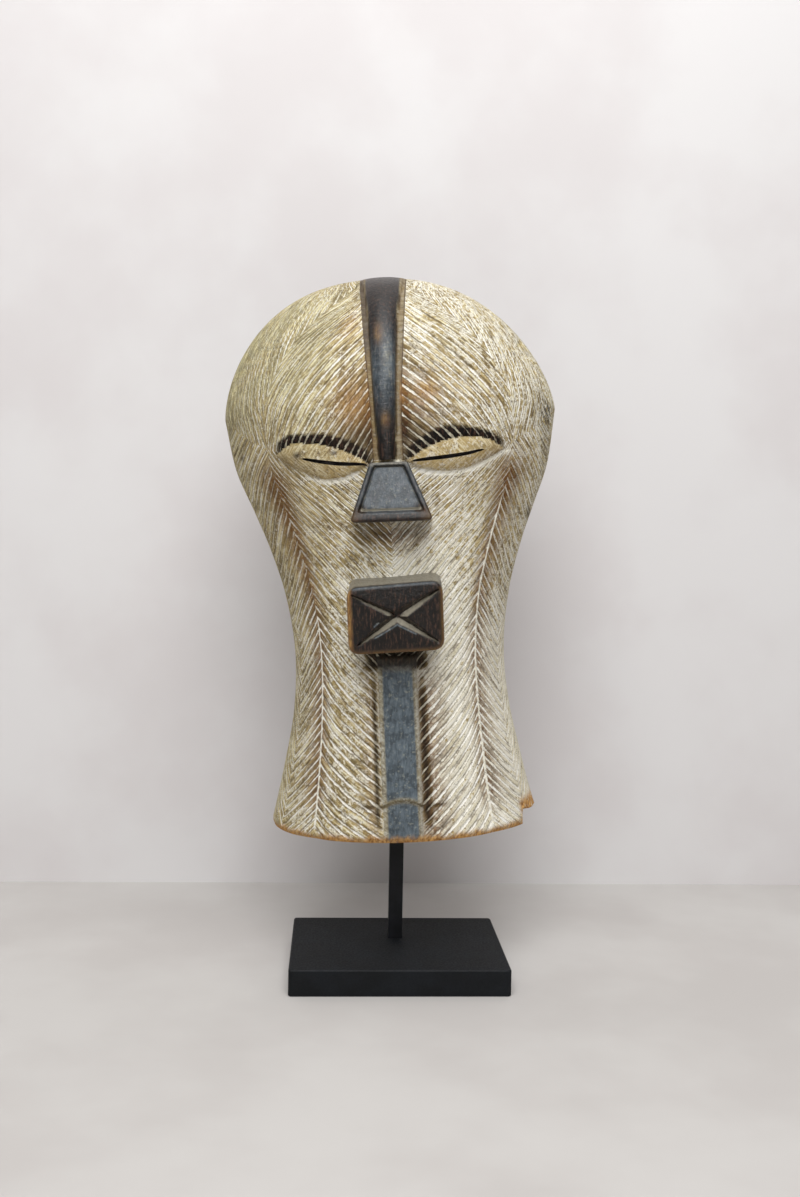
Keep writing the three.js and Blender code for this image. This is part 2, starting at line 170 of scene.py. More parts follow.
def head_point(angle, z, top=MASK_HEIGHT, wall=0.0):
    """A point at an angle round the head (0 in front, +-90 degrees at the rims) and a height.

    x = (a - wall) sin(angle), y = -(b - wall) cos(angle), where a and b are the half-width and the
    depth at that height.
    """
    a = np.maximum(half_width(angle, z, top) - wall, 0)
    b = np.maximum(closing(depth_below, DEPTHS, CROWN_FRONT, z, top) - wall, 0)
    turn = np.radians(angle)
    return np.stack(np.broadcast_arrays(a * np.sin(turn), -b * np.cos(turn), z), -1)


def heights_along_skin(count, angle=30.0, top=MASK_HEIGHT, wall=0.0, low=0.0):
    """Heights spaced evenly along the skin at one angle, with their distance from the lower edge.

    The crown is sampled by a sine, the distances between samples are added up, and equal steps of
    the sum are read back as heights.
    """
    start = DEPTHS[-1][0]
    turn = np.linspace(0, math.pi / 2, 2000)[1:]
    z = np.concatenate([np.linspace(low, start, 1500), start + (top - start) * np.sin(turn)])
    p = head_point(angle, z, top, wall)
    run = np.concatenate([[0], np.cumsum(np.linalg.norm(np.diff(p, axis=0), axis=1))])
    return np.interp(np.linspace(0, run[-1], count), run, z), z, run


_, SKIN_Z, SKIN_RUN = heights_along_skin(2)
SKIN_LENGTH = SKIN_RUN[-1]


def run_of(z):
    """Distance up the skin, in mm, of a height."""
    return np.interp(z, SKIN_Z, SKIN_RUN)


print("skin from lower edge to crown, mm:", round(SKIN_LENGTH, 1))

# %% [markdown]
# ## Columns that follow the carving
# A carver draws the long lines first: the edges of the middle panel, and the two spines that the
# grooves lean against. Columns at even angles would run across these lines and blur them. So the
# grid's columns follow them, and a V where two grooves meet stays sharp. Column w is 0 on the middle
# line, 1 on the panel's edge, 2 on the spine and 3 on the rim, and negative on the viewer's left.

# %% From column to angle and back


def column_lines(side, z):
    """Angles of the middle line, the panel's edge and the spine at a height, on one side."""
    half = np.maximum(half_width(side, z), 1.0)
    middle = np.degrees(np.arcsin(np.clip(midline(z) / half, -0.3, 0.3)))
    edge = np.degrees(np.arcsin(np.minimum(panel_edge(z) / half, 0.85)))
    return middle, edge, np.maximum(spine_angle(z), edge + 4)


def angle_of(w, z):
    """Angle of column w: straight steps from line to line, shifted by the middle line's own shift."""
    side = np.where(w < 0, -1.0, 1.0)
    across = np.abs(w)
    middle, edge, spine = column_lines(side, z)
    angle = np.where(across <= 1, across * edge,
                     np.where(across <= 2, edge + (across - 1) * (spine - edge),
                              spine + (across - 2) * (90 - spine)))
    return side * angle + middle * (1 - np.minimum(across / 2, 1))


print("angles of panel edge, spine and rim at 200 mm:", np.round(angle_of(np.array([1.0, 2, 3]), 200.0), 1))

# %% [markdown]
# ## The grooves
# The skin is covered with grooves in bands that lean against each other like the barbs of a
# feather. In each band one groove is a curve v(t), with v the distance up the skin and t the share
# of the way across the band. Each could be cut by a swept tool, but hundreds of cuts are slow. So the
# question is turned round: for a point on the skin, which groove runs through it? The answer, a number
# that rises by one from groove to groove, is the groove phase. It is found by halving an interval.

# %% Which groove runs through a point


def along(points, at):
    """Straight steps between points (position, value)."""
    xs, ys = np.array(points, float).T
    return np.interp(at, xs, ys)


def phase_through(family, counts, side, t, v):
    """Groove phase at (t, v): counts says it for each label, and the label's curve passes there.

    The label is found by halving the interval of all labels until it is closed.
    """
    low = np.full(np.shape(v), float(counts[0][0]))
    high = np.full(np.shape(v), float(counts[-1][0]))
    for _ in range(20):
        middle = 0.5 * (low + high)
        under = family(side, t, middle) < v
        low = np.where(under, middle, low)
        high = np.where(under, high, middle)
    return along(counts, 0.5 * (low + high))


def two_sided(right, left):
    """A function of (side, at): straight steps through one list of points on each side."""
    return lambda side, at: np.where(side > 0, along(right, at), along(left, at))


# %% Grooves of the forehead
# fall = how far a groove drops at an even rate, hook = how much more it drops near the spine
forehead_fall = two_sided(
    [(262, 75), (300, 66), (320, 60), (340, 51), (360, 46), (378, 36), (392, 26), (410, 14), (470, 4)],
    [(262, 150), (290, 130), (310, 100), (330, 73), (345, 60), (360, 50), (385, 42), (410, 18), (470, 4)])
forehead_hook = two_sided(
    [(262, 10), (320, 30), (360, 47), (385, 50), (392, 27), (400, 14), (410, 4), (470, 1)],
    [(262, 10), (320, 25), (340, 50), (360, 70), (385, 68), (392, 58), (400, 30), (410, 6), (470, 1)])
forehead_bend = two_sided([(340, 2.0), (370, 2.4), (385, 4.5)], [(340, 2.0), (370, 3.0), (385, 4.5)])
FOREHEAD_COUNT = [(150, -17), (262, 0), (375, 16.6), (392, 20), (405, 25), (470, 40)]


def forehead_groove(side, t, label):
    """From the crest (t = 0, v = label) outwards and down: v = label - fall t - hook t^bend."""
    hook = forehead_hook(side, label) * np.maximum(t, 1e-6)**forehead_bend(side, label)
    return label - forehead_fall(side, label) * t - hook


print("grooves up the forehead:", round(along(FOREHEAD_COUNT, 470) - along(FOREHEAD_COUNT, 262)))

# %% Grooves of the cheeks
# Where each groove from the panel ends on the spine
cheek_spine = two_sided(
    [(-60, -12), (-40, 8), (0, 53), (20, 75), (40, 93), (60, 109), (80, 128), (100, 148), (120, 171),
     (140, 205), (160, 240), (175, 258), (190, 274), (210, 296), (262, 349), (330, 417)],
    [(-60, -25), (-40, -5), (0, 36), (20, 57), (40, 82), (60, 102), (80, 125), (100, 146), (120, 167),
     (140, 198), (160, 234), (175, 252), (190, 268), (210, 290), (262, 343), (330, 411)])
CHEEK_BEND = [(20, 0.9), (80, 1.0), (120, 0.97), (150, 0.86), (190, 0.8), (262, 0.76)]
CHEEK_COUNT = [(-60, 0), (120, 25), (150, 29.5), (190, 36.5), (262, 50.5), (330, 63)]


def cheek_groove(side, t, label):
    """From the panel (t = 1, v = label) out and up to the spine (t = 0)."""
    spine = cheek_spine(side, label)
    return spine - (spine - label) * np.maximum(t, 1e-6)**along(CHEEK_BEND, label)


print("grooves up a cheek:", round(along(CHEEK_COUNT, 262) - along(CHEEK_COUNT, 0)))

# %% Grooves of the sides and temples
SIDE_FALL, SIDE_LIFT = 74.0, 46.0
SIDE_COUNT = [(-20, 0), (140, 25.4), (230, 38.2), (277, 46.2), (560, 96)]


def side_groove(side, t, label):
    """From the spine (t = 0, v = label) outwards and down, and level again towards the rim."""
    return label - SIDE_FALL * t + SIDE_LIFT * np.minimum(t, 0.7)**3


EYE_CORNER = 277.5
SIDE_WIDTH = 85.0
TEMPLE_PITCH, TEMPLE_STRAIGHT = 4.4, 93


def temple_phase(t, v):
    """Grooves above the eye's outer corner fan up from the spine, nearly along the rim.

    phase = (width * t - lean * exp(-(t / 0.6)^2)) / pitch. The lean grows as a parabola of the height
    above the eye's corner, and goes straight on above TEMPLE_STRAIGHT.
    """
    up = v - EYE_CORNER
    lean = 0.2 * up + 0.0016 * np.minimum(up, TEMPLE_STRAIGHT)**2
    lean = np.where(up > TEMPLE_STRAIGHT, lean + 0.3 * (up - TEMPLE_STRAIGHT), lean)
    return (SIDE_WIDTH * t - lean * np.exp(-(t / 0.6)**2)) / TEMPLE_PITCH


print("grooves across a temple:", round(SIDE_WIDTH / TEMPLE_PITCH))

# %% [markdown]
# No two grooves of the real mask are quite alike. Random shifts point by point would only roughen
# them. A slow wave, nearly the same for neighbouring points, bends the families as a hand does, and
# each groove gets its own depth. Seeds are fixed, so every run gives the same mask.

# %% Which band a point is in, and its groove phase
# The rim's own band: the column where it starts, its top, and how far its grooves fall, in mm
RIM_BAND_START, RIM_BAND_TOP, RIM_FALL, RIM_PITCH = 2.47, 150.0, 62, 6.4
# The line between forehead and cheek dips towards the nose and climbs to the rim, both in mm
BROW_DIP, BROW_CLIMB = 14, 36
WAVE_RISE, WAVE_LENGTH = 0.9, 34
PANEL_CLIMB = 12
LEFT_SHIFT = 0.37


def slow_wave(a, b, seed):
    """The small unevenness of hand work: a sum of slow sine waves, about -1 to 1."""
    rng = np.random.default_rng(seed)
    total = 0.0
    for size in (1.0, 1.9, 3.3, 5.1):
        turn = rng.uniform(0.6, 1.4, 2) * size
        total = total + np.sin(a * turn[0] + b * turn[1] + rng.uniform(0, 6.3)) / size**0.7
    return total / 2.2


def groove_phase(w, z, face_w, face_z):
    """Groove phase at column w and height z. The band and side are those of the face's middle."""
    side = np.where(face_w < 0, -1.0, 1.0)
    across, v = np.abs(w), run_of(z)
    face_across, face_v = np.abs(face_w), run_of(face_z)
    v = v + WAVE_RISE * slow_wave(across * 2.4 + side * 5, v / WAVE_LENGTH, 4)
    inner = np.clip(across - 1, 0, 1)
    outer = np.clip(across - 2, 0, 1)
    brow_line = (EYE_CORNER - BROW_DIP * np.clip(2 - face_across, 0, 1)
                 + BROW_CLIMB * np.clip(face_across - 2, 0, 1))
    above = face_v > brow_line
    in_rim = (face_across > RIM_BAND_START) & (face_v < RIM_BAND_TOP)
    on_panel = PANEL_CLIMB * np.maximum(1 - across, 0)
    phase = np.select(
        [above & (face_across <= 2), face_across <= 2, in_rim, above],
        [phase_through(forehead_groove, FOREHEAD_COUNT, side, inner, v),
         phase_through(cheek_groove, CHEEK_COUNT, side, 1 - inner, v + on_panel),
         (v - RIM_FALL * (across - RIM_BAND_START)) / RIM_PITCH, temple_phase(outer, v)],
        phase_through(side_groove, SIDE_COUNT, side, outer, v))
    return phase + np.where(side < 0, LEFT_SHIFT, 0.0)


at_spine, two_heights = np.array([1.99, 1.99]), np.array([20.0, 240.0])
passed = groove_phase(at_spine, two_heights, at_spine, two_heights)
print("grooves that meet the right spine from 20 to 240 mm:", round(passed[1] - passed[0], 1))

# %% [markdown]
# ## Crest, lids, brow and stripe
# These low forms stand 1 to 4 mm out of the skin. They could be pieces of their own, but the real ones
# are cut from the same block and run into it. So each is a height in millimetres, worked out from the
# place on the skin. The heights are added, and raise the skin along its outward direction.

# %% Sizes of the low carving
# In mm, apart from the shares: the crest's height at the crown, its half-width against the panel's, and
# a groove's half-width against the step from groove to groove
CREST_FOOT, CREST_HEIGHT, CREST_AT_CROWN = 263.0, 3.8, 0.3
CREST_SHARES = [(263, 0.54), (285, 0.63), (350, 0.65), (385, 0.76), (400, 0.93)]
crest_share = curve_through(CREST_SHARES)
STRIPE_TOP, STRIPE_HEIGHT, STRIPE_STEP, STRIPE_DROP = 130.0, 1.8, 24.8, 1.7
STEP_ARCH = 4.4
VALLEY_DEPTH, VALLEY_HALF, COLUMN_WIDTH = 1.3, 7, 40
GROOVE_DEPTH, GROOVE_HALF = 0.85, 0.17
# Whole numbers times this angle fall far apart on a sine, so neighbouring grooves come out unlike
GROOVE_SHUFFLE = 12.9898
LID_BULGE, BROW_OVERHANG = 3.4, 1.6
SLIT_HEIGHT, SLIT_FALL = 2.4, 0.36
EYES = [
    {"inner": 12, "outer": 79.5, "slit": (14.5, 65), "edge_to": 0.9,
     "line": [(12, 262.6), (26.6, 263.5), (40, 264.6), (53.6, 266.6), (64, 269), (79.5, 270)],
     "upper": [(12, 263), (27.5, 272), (41.4, 276.8), (55.3, 278.1), (69.4, 276.3), (79.5, 270)],
     "lower": [(12, 262), (16.8, 258), (30.4, 255), (47.7, 255.4), (61.9, 260.3), (79.5, 269.8)]},
    {"inner": -15, "outer": -80, "slit": (-61, -15.8), "edge_to": 0.4,
     "line": [(-80, 270.8), (-60.7, 267), (-46.9, 264), (-33.3, 262.1), (-15, 261.7)],
     "upper": [(-80, 271), (-69, 277.4), (-58, 277.4), (-44, 275.2), (-27, 268.8), (-15, 262)],
     "lower": [(-80, 270.4), (-62.7, 259.1), (-48.7, 252.8), (-34.7, 252), (-20.7, 257.4), (-15, 261)]},
]
for eye in EYES:
    eye["curves"] = [curve_through(eye[name]) for name in ("line", "upper", "lower")]

# %% Heights of lids and brow


def eye_lines(eye, x):
    """Share t along the eye, and the heights of its slit, upper line and lower line at x."""
    t = (x - eye["inner"]) / (eye["outer"] - eye["inner"])
    return (t, *(curve(x) for curve in eye["curves"]))


def lids(x, z):
    """Rise of the lids, and 1 on a lid, on a lid below its slit, and on its lower edge.

    A lid is an almond with a domed section: bulge * sqrt(1 - share^2), and share goes from 0 at the
    slit to 1 at the almond's outline. The dome gets lower towards both ends as (4t(1 - t))^0.4.
    """
    rise, on_lid, under_slit, lower_edge = (np.zeros(np.shape(x)) for _ in range(4))
    for eye in EYES:
        t, slit, upper, lower = eye_lines(eye, x)
        share = np.where(z > slit, (z - slit) / np.maximum(upper - slit, 0.4),
                         (slit - z) / np.maximum(slit - lower, 0.4))
        inside = (t > 0) & (t < 1) & (share < 1)
        ends = (4 * np.clip(t, 0, 1) * (1 - np.clip(t, 0, 1)))**0.4
        dome = LID_BULGE * np.sqrt(np.clip(1 - share**2, 0, 1)) * ends
        rise = np.where(inside, dome, rise)
        on_lid = np.where(inside, 1.0, on_lid)
        under_slit = np.where(inside & (z < slit), 1.0, under_slit)
        seen = smooth(0.05, 0.2, t) * (1 - smooth(eye["edge_to"], eye["edge_to"] + 0.3, t))
        lower_edge = np.maximum(lower_edge, near(z, lower - 1.2, 1.4) * seen)
    return rise, on_lid, under_slit, lower_edge


def brow(x, z, jag=0.0):
    """Rise of the brow above the lids, and how much of its dark paint is there.

    The rise is a steep step up at the lid's upper line and a long slope down above it. jag, from -1 to
    1, makes the painted band's top uneven.
    """
    rise, band = np.zeros(np.shape(x)), np.zeros(np.shape(x))
    for eye in EYES:
        t, _, upper, _ = eye_lines(eye, x)
        fade = smooth(-0.12, 0.03, t) * (1 - smooth(0.93, 1.04, t))
        over = z - upper
        rise += BROW_OVERHANG * fade * smooth(-0.3, 1.6, over) * (1 - smooth(5, 40, over))
        thick = (7.0 + 3.4 * (1 - np.abs(2 * np.clip(t, 0, 1) - 0.9))) * (1 + 0.28 * jag)
        paint = fade * smooth(-1.5, 0.0, over) * (1 - smooth(thick * 0.8, thick * 1.15, over))
        band = np.maximum(band, paint)
    return rise, band


# %% Height of all the low carving, and where grooves may run


def on_crest_or_stripe(w, z):
    """1 on the raised strip down the forehead, and 1 on the flat stripe down the chin."""
    across = np.abs(w)
    crest = (z >= CREST_FOOT) * (across < 1.0) * 1.0
    stripe = (1 - smooth(STRIPE_TOP - 1, STRIPE_TOP, z)) * (1 - smooth(0.96, 1.04, across))
    return crest, stripe


def step_line(across):
    """Height of the step across the stripe: a low arch, STEP_ARCH high and as wide as the stripe."""
    return STRIPE_STEP + STEP_ARCH * (1 - np.minimum(across / 0.95, 1)**2)


def relief(w, x, z):
    """Height of the carving above the plain form, in mm, and how deep the grooves may be (0 to 1).

    Crest: height * (1 - t^1.7)^0.6 across it, lower towards the crown, between borders that are sunk.
    Then the stripe with its step, a valley along each spine, the lids and the brow are added.
    """
    across = np.abs(w)
    crest, stripe = on_crest_or_stripe(w, z)
    t = across / crest_share(z)
    deep = closing(depth_below, DEPTHS, CROWN_FRONT, z, MASK_HEIGHT)
    tall = (CREST_AT_CROWN + (1 - CREST_AT_CROWN) * smooth(28, 65, deep)) * smooth(3, 14, deep)
    ridge = CREST_HEIGHT * tall * np.clip(1 - t**1.7, 0, 1)**0.6
    border = -0.9 * smooth(1.0, 1.06, t) * (1 - smooth(0.95, 1.0, across)) - 0.5 * near(t, 1.06, 0.05)
    rise = crest * np.where(t < 1, ridge, border)
    lip = step_line(across)
    drop = STRIPE_DROP * (1 - smooth(lip - 1.2, lip + 0.6, z))
    rise = rise + stripe * (STRIPE_HEIGHT - drop - 0.5 * near(across, 0.79, 0.03))
    valley = np.exp(-((across - 2) * COLUMN_WIDTH / VALLEY_HALF)**2)
    rise = rise - VALLEY_DEPTH * (1 - smooth(225, 268, z)) * valley
    lid_rise, on_lid, _, _ = lids(x, z)
    rise = rise + lid_rise + brow(x, z)[0]
    depth = (1 - crest) * (1 - stripe) * (1 - on_lid)
    depth = depth * (1 - 0.6 * smooth(2.6, 2.95, across)) * (1 - smooth(2.93, 3.0, across))
    depth = depth * smooth(0, 4, z) * smooth(8, 30, deep)
    return rise, depth


seen_w, seen_x, seen_z = np.array([[0.0, -1.5, 0.0], [0.0, -45.0, 0.0], [340.0, 265.0, 80.0]])
print("relief in mm at crest, left lid and chin:", np.round(relief(seen_w, seen_x, seen_z)[0], 2))

# %% [markdown]
# ## From numbers to a closed mesh
# Every shape below is a grid of points worked out as one numpy array. It could be given to a modifier
# to thicken, but booleans need a mesh that is closed, with its faces outwards. So a closed form is a
# grid from the left rim to the right rim, with its flat back and underside filled and its top row
# drawn together into one point.

# %% Grids to Blender meshes


def grid_faces(rows, columns, wrap=False):
    """Corner numbers of a grid's quads, row by row, with the last column joined to the first if wrap."""
    r, c = np.meshgrid(np.arange(rows - 1), np.arange(columns if wrap else columns - 1), indexing="ij")
    right = (c + 1) % columns
    quads = [r * columns + c, r * columns + right, (r + 1) * columns + right, (r + 1) * columns + c]
    return np.stack(quads, -1).reshape(-1, 4)


def fan(line, tip):
    """Triangles from each step of a line of corner numbers to one more corner."""
    return np.stack([line[:-1], line[1:], np.full(len(line) - 1, tip)], -1)


def make_mesh(name, points, *face_sets):
    """A mesh object from points in millimetres of the mask's frame and sets of faces."""
    mesh = bpy.data.meshes.new(name)
    faces = [face for faces in face_sets for face in faces.tolist()]
    mesh.from_pydata((points * MM).tolist(), [], faces)
    mesh.update()
    obj = bpy.data.objects.new(name, mesh)
    bpy.context.scene.collection.objects.link(obj)
    return obj


def closed_form(name, grid, tip):
    """A closed mesh from rows of points that run from the left rim to the right rim, and a top."""
    rows, cols = grid.shape[:2]
    points = np.concatenate([grid.reshape(-1, 3), [tip, (0, -2, grid[0, 0, 2])]])
    top, under = len(points) - 2, len(points) - 1
    left = np.arange(rows) * cols
    right = left + cols - 1
    back = np.stack([left[:-1], left[1:], right[1:], right[:-1]], -1)
    last = np.arange(cols) + (rows - 1) * cols
    close_top = [[last[-1], last[0], top]]
    close_under = [[0, cols - 1, under]]
    return make_mesh(name, points, grid_faces(rows, cols), back, fan(last, top),
                     np.array(close_top), fan(np.arange(cols)[::-1], under), np.array(close_under))


# %% [markdown]
# ## The outside of the mask
# The real grooves are shallow knife cuts, taken here as 0.85 mm deep. They could be faked in the
# material, but real cuts throw shadows. The grid has 1.3 mm steps, so each groove is about five steps
# wide. That is fine enough for the cut edges to catch the light, and it stays under the limit of
# triangles for one piece.

# %% The carved grid
COLUMN_STEPS = [(0, 1, 13), (1, 2, 47), (2, 3, 50)]
ROWS = 345
# In mm: what wear has taken off the lower edge and off the rims, and how far the skin lies inside
EDGE_WEAR, RIM_WEAR, SKIN_INSET = 2.0, 1.2, 0.15

half = np.concatenate([np.linspace(a, b, n, endpoint=False) for a, b, n in COLUMN_STEPS] + [[3.0]])
columns = np.concatenate([-half[:0:-1], half])
row_heights, _, _ = heights_along_skin(ROWS)
grid_w, grid_z = np.meshgrid(columns, row_heights[:-1])


def carved_skin(w, z):
    """The plain form moved along its outward direction by the relief, less the cut of the grooves.

    A groove's section is a bell, exp(-(distance / half-width)^2), of the distance in phase.
    """
    angle = angle_of(w, z)
    p = head_point(angle, z)
    small = 0.05
    around = head_point(angle + small, z) - head_point(angle - small, z)
    up = (head_point(angle, np.minimum(z + small, MASK_HEIGHT - 1e-3))
          - head_point(angle, np.maximum(z - small, 0)))
    outward = np.cross(around, up)
    outward /= np.maximum(np.linalg.norm(outward, axis=-1, keepdims=True), 1e-9)
    rise, depth = relief(w, p[..., 0], z)
    phase = groove_phase(w, z, w, z)
    distance = np.abs(phase - np.round(phase))
    uneven = 1 + 0.3 * np.sin(np.round(phase) * GROOVE_SHUFFLE + 4 * np.abs(w))
    cut = near(distance, 0, GROOVE_HALF) * depth * uneven * smooth(0.0, 0.03, np.abs(np.abs(w) - 2))
    inside_edge = (1 - smooth(2.85, 3, np.abs(w))) * (1 - smooth(MASK_HEIGHT - 1.5, MASK_HEIGHT, z))
    worn = EDGE_WEAR * (1 - smooth(0, 5.0, z))**2 + RIM_WEAR * smooth(2.94, 3, np.abs(w))**2
    p = p + outward * ((rise - GROOVE_DEPTH * cut) * inside_edge - worn - SKIN_INSET)[..., None]
    p[..., 1] = np.where(np.abs(w) >= 3, 0, np.minimum(p[..., 1], 0))
    p[0, :, 2] = 0
    return p


mask = closed_form("mask_carved", carved_skin(grid_w, grid_z), (0, 0, MASK_HEIGHT))
print("outside grid:", grid_w.shape, "faces:", len(mask.data.polygons))

# %% [markdown]
# ## Paint, wear and some painted shade and highlights, stored on the faces' corners
# The materials need to know what each place is: how near a groove, how much clay is left, where the
# wood is bare or dark. That could be painted on an image, but here it is worked out and kept as
# attributes on the corners of the faces. They keep their place when the mesh is cut and joined, and a
# corner, unlike a point, can have another value on each side of an edge, so the spines stay sharp.

# %% Storing values on corners
NO_GROOVE = 0.5


def corner_tables(mesh):
    """For each corner of each face: its point's number and its face's number."""
    vertex = np.empty(len(mesh.loops), int)
    mesh.loops.foreach_get("vertex_index", vertex)
    total = np.empty(len(mesh.polygons), int)
    mesh.polygons.foreach_get("loop_total", total)
    return vertex, np.repeat(np.arange(len(total)), total)


def face_middle(values, vertex, face):
    """The mean of a value over each face, given back for each of its corners."""
    return (np.bincount(face, values[vertex]) / np.bincount(face))[face]


def store(obj, groove=NO_GROOVE, forms=(0.0, 0.0, 0.0), finish=(0.0, 0.0, 0.0, 0.0)):
    """Writes three attributes on corners.

    groove: phase. forms: dark wood, blue-grey paint, bare wood. finish: cut, clay, brown stain, film.
    Dark, blue-grey, clay and brown also carry some painted shade and highlights.
    """
    count = len(obj.data.loops)
    attribute = obj.data.attributes.new("groove", "FLOAT", "CORNER")
    attribute.data.foreach_set("value", np.broadcast_to(np.asarray(groove, np.float32), count).copy())
    for name, parts in (("forms", forms), ("finish", finish)):
        rgba = np.ones((count, 4), np.float32)
        for i, value in enumerate(parts):
            rgba[:, i] = value
        attribute = obj.data.attributes.new(name, "FLOAT_COLOR", "CORNER")
        attribute.data.foreach_set("color", rgba.ravel())


# %% Where each corner lies, and what is carved there


def skin_places(w, z, face_w, face_z):
    """Gathers what the paint depends on, under short names.

    across is the column without its sign, v is the distance up the skin, right is 1 on the viewer's
    right, and share is 1 where the crest's ridge ends. Forms with sharp edges are taken at the face's
    middle, so a face lies on one side of them.
    """
    here = SimpleNamespace(w=w, z=z, across=np.abs(w), v=run_of(z), right=1.0 * (w > 0))
    here.x = head_point(angle_of(w, z), z)[..., 0]
    face_x = head_point(angle_of(face_w, face_z), face_z)[..., 0]
    here.phase = groove_phase(w, z, face_w, face_z)
    _, here.depth = relief(face_w, face_x, face_z)
    here.crest, here.stripe = on_crest_or_stripe(face_w, face_z)
    _, here.on_lid, here.under_slit, _ = lids(face_x, face_z)
    here.lower_edge = lids(here.x, z)[3]
    here.share = here.across / np.minimum(crest_share(z), 0.76)
    here.ridge = here.crest * (1 - smooth(0.95, 1.05, here.share))
    here.border = here.crest * (1 - here.ridge)
    here.lip = near(z, step_line(here.across) + 0.5, 1.6) * (1 - smooth(1.1, 1.5, here.across))
    here.strokes = (near(here.across, 2.52, 0.13) * near(z, 298, 11) * here.right
                    * smooth(0.1, 0.8, np.sin((z + 55 * here.across) * 1.1)))
    # Worn slate on the crest's right facet, and a painted reflection of the light on it.
    here.sheen = here.ridge * smooth(0.0, 0.12, w) * (1 - smooth(0.45, 0.6, w)) * near(here.v, 334, 20)
    return here


# %% Dark and blue-grey paint, with some painted shade and highlights
# Dark marks on the skin: middle x and z, then half-width and half-height, all in mm. The third is
# painted shade in a small dent in the wood.
SMUDGES_AND_PIT_SHADE = [(-62.9, 269.8, 3.4, 2.0), (-37.4, 269.9, 2.8, 1.6), (-107.8, 271.9, 1.5, 2.2),
           (99.7, 226.0, 2.0, 4.0)]


def dark_paint_and_shade(here):
    """The strongest of the dark marks, each a product of soft steps and spots, some of them painted shade.
    """
    x, z, v, across, right = here.x, here.z, here.v, here.across, here.right
    _, brow_paint = brow(x, z, np.sin(np.round(here.phase) * GROOVE_SHUFFLE))
    brow_paint = brow_paint * (1 - here.on_lid) * (1 - here.crest)
    inner_brow = near(across, 1.0, 0.3) * near(v, 281, 16) * (1 - here.crest) * (1 - here.on_lid)
    # Under the mouth: dark paint, and the mouth's shadow painted on.
    paint_and_shadow_under_mouth = (1 - smooth(17, 25, np.abs(x + 0.8))) * smooth(117, 123, z) * (1 - smooth(136, 144, z))
    crust = near(across, 1.06, 0.035 + 0.035 * right) * (1 - smooth(95, 130, v)) * smooth(5, 20, v)
    smudges_and_pit_shade = np.max([near(x, at_x, wide) * near(z, at_z, tall) for at_x, at_z, wide, tall in SMUDGES_AND_PIT_SHADE],
                     axis=0)
    # The crest's sunk border: dark paint, with painted shade in its crevices and on the left border's upper
    # part.
    border = np.max([0.3 * here.border, 0.9 * here.border * near(across, 0.985, 0.04),
                     0.8 * here.border * near(here.share, 1.06, 0.07),
                     0.75 * here.border * smooth(320, 350, v) * (1 - right)], axis=0)
    return np.max([here.ridge, border, brow_paint, 0.8 * inner_brow, 0.95 * paint_and_shadow_under_mouth, 0.9 * crust,
                   0.75 * here.lip, here.strokes, 0.9 * smudges_and_pit_shade], axis=0)


def blue_paint_and_sheen(here):
    """Blue-grey paint on the chin stripe, and on the crest worn slate with a painted reflection."""
    blue = here.stripe * (1 - 0.55 * smooth(0.7, 0.8, here.across)) * (1 - smooth(0.93, 1.0, here.across))
    blue = blue * (1 - smooth(117, 125, here.z)) * (1 - here.lip)
    # On the crest: worn slate, with a painted reflection on its right facet.
    return np.max([blue, 0.9 * here.sheen, 0.6 * here.ridge * near(here.v, 324, 26), 0.6 * here.strokes],
                  axis=0)


# %% Bare wood, stain with some painted shade, clay and film


def bare_wood(here):
    """Raw wood at the worn lower edge, at the break and in spots that were rubbed through."""
    v, across, right = here.v, here.across, here.right
    bare = 1 - smooth(1.5, 6.0, v + 1.5 * slow_wave(here.w * 3, here.w * 5, 8))
    lump = right * smooth(2.36, 2.46, across) * (1 - smooth(14, 21, v))
    red_spot = (0.35 * near(here.w, -0.15, 0.2) * near(v, 354, 7)
                + 0.3 * near(here.w, 0.05, 0.25) * near(v, 293, 5))
    bare = np.max([bare, lump, 0.9 * near(across, 0.96, 0.05) * near(v, 310, 7) * right,
                   0.45 * near(across, 1.14, 0.16) * near(v, 305, 16) * (1 - right),
                   0.3 * near(across, 1.2, 0.16) * near(v, 365, 12) * (1 - right),
                   0.45 * near(across, 1.2, 0.1) * near(v, 312, 7) * right], axis=0) * (1 - here.ridge)
    return np.maximum(bare, red_spot * here.ridge)


def brown_stain_and_shade(here):
    """A sum of soft spots: rust-brown stain, strongest in the two valleys and beside the panel, and
    brown below the nose that is partly painted shade.
    """
    x, z, v, across, right = here.x, here.z, here.v, here.across, here.right
    valley = np.exp(-((across - 2) / np.where(across < 2, 0.15, 0.2))**2)
    beside_stripe = (0.55 + 0.35 * right) * near(across, 1.12, 0.12 + 0.12 * right)
    return (0.95 * valley * smooth(10, 30, v) * (1 - smooth(250, 275, v))
            # Below the nose: brown that is partly painted shade.
            + 0.9 * near(x, -0.8, 26) * near(z, 212, 9)
            + 0.7 * near(across, 1.12, 0.2) * near(v, 300, 30)
            + beside_stripe * (1 - smooth(100, 140, v))
            + 0.4 * near(across, 2.0, 0.35) * near(v, 262, 25)
            + 0.35 * right * near(across, 1.45, 0.4) * near(v, 320, 35)
            + 0.15 * (1 - right) * near(across, 1.8, 0.4) * near(v, 222, 24)
            + 0.3 * right * near(across, 1.35, 0.3) * near(v, 240, 18)
            + 0.7 * near(across, 1.0, 0.06) * near(v, 300, 40) + 0.7 * here.border
            + 0.14 * here.on_lid + 0.16 * here.under_slit)


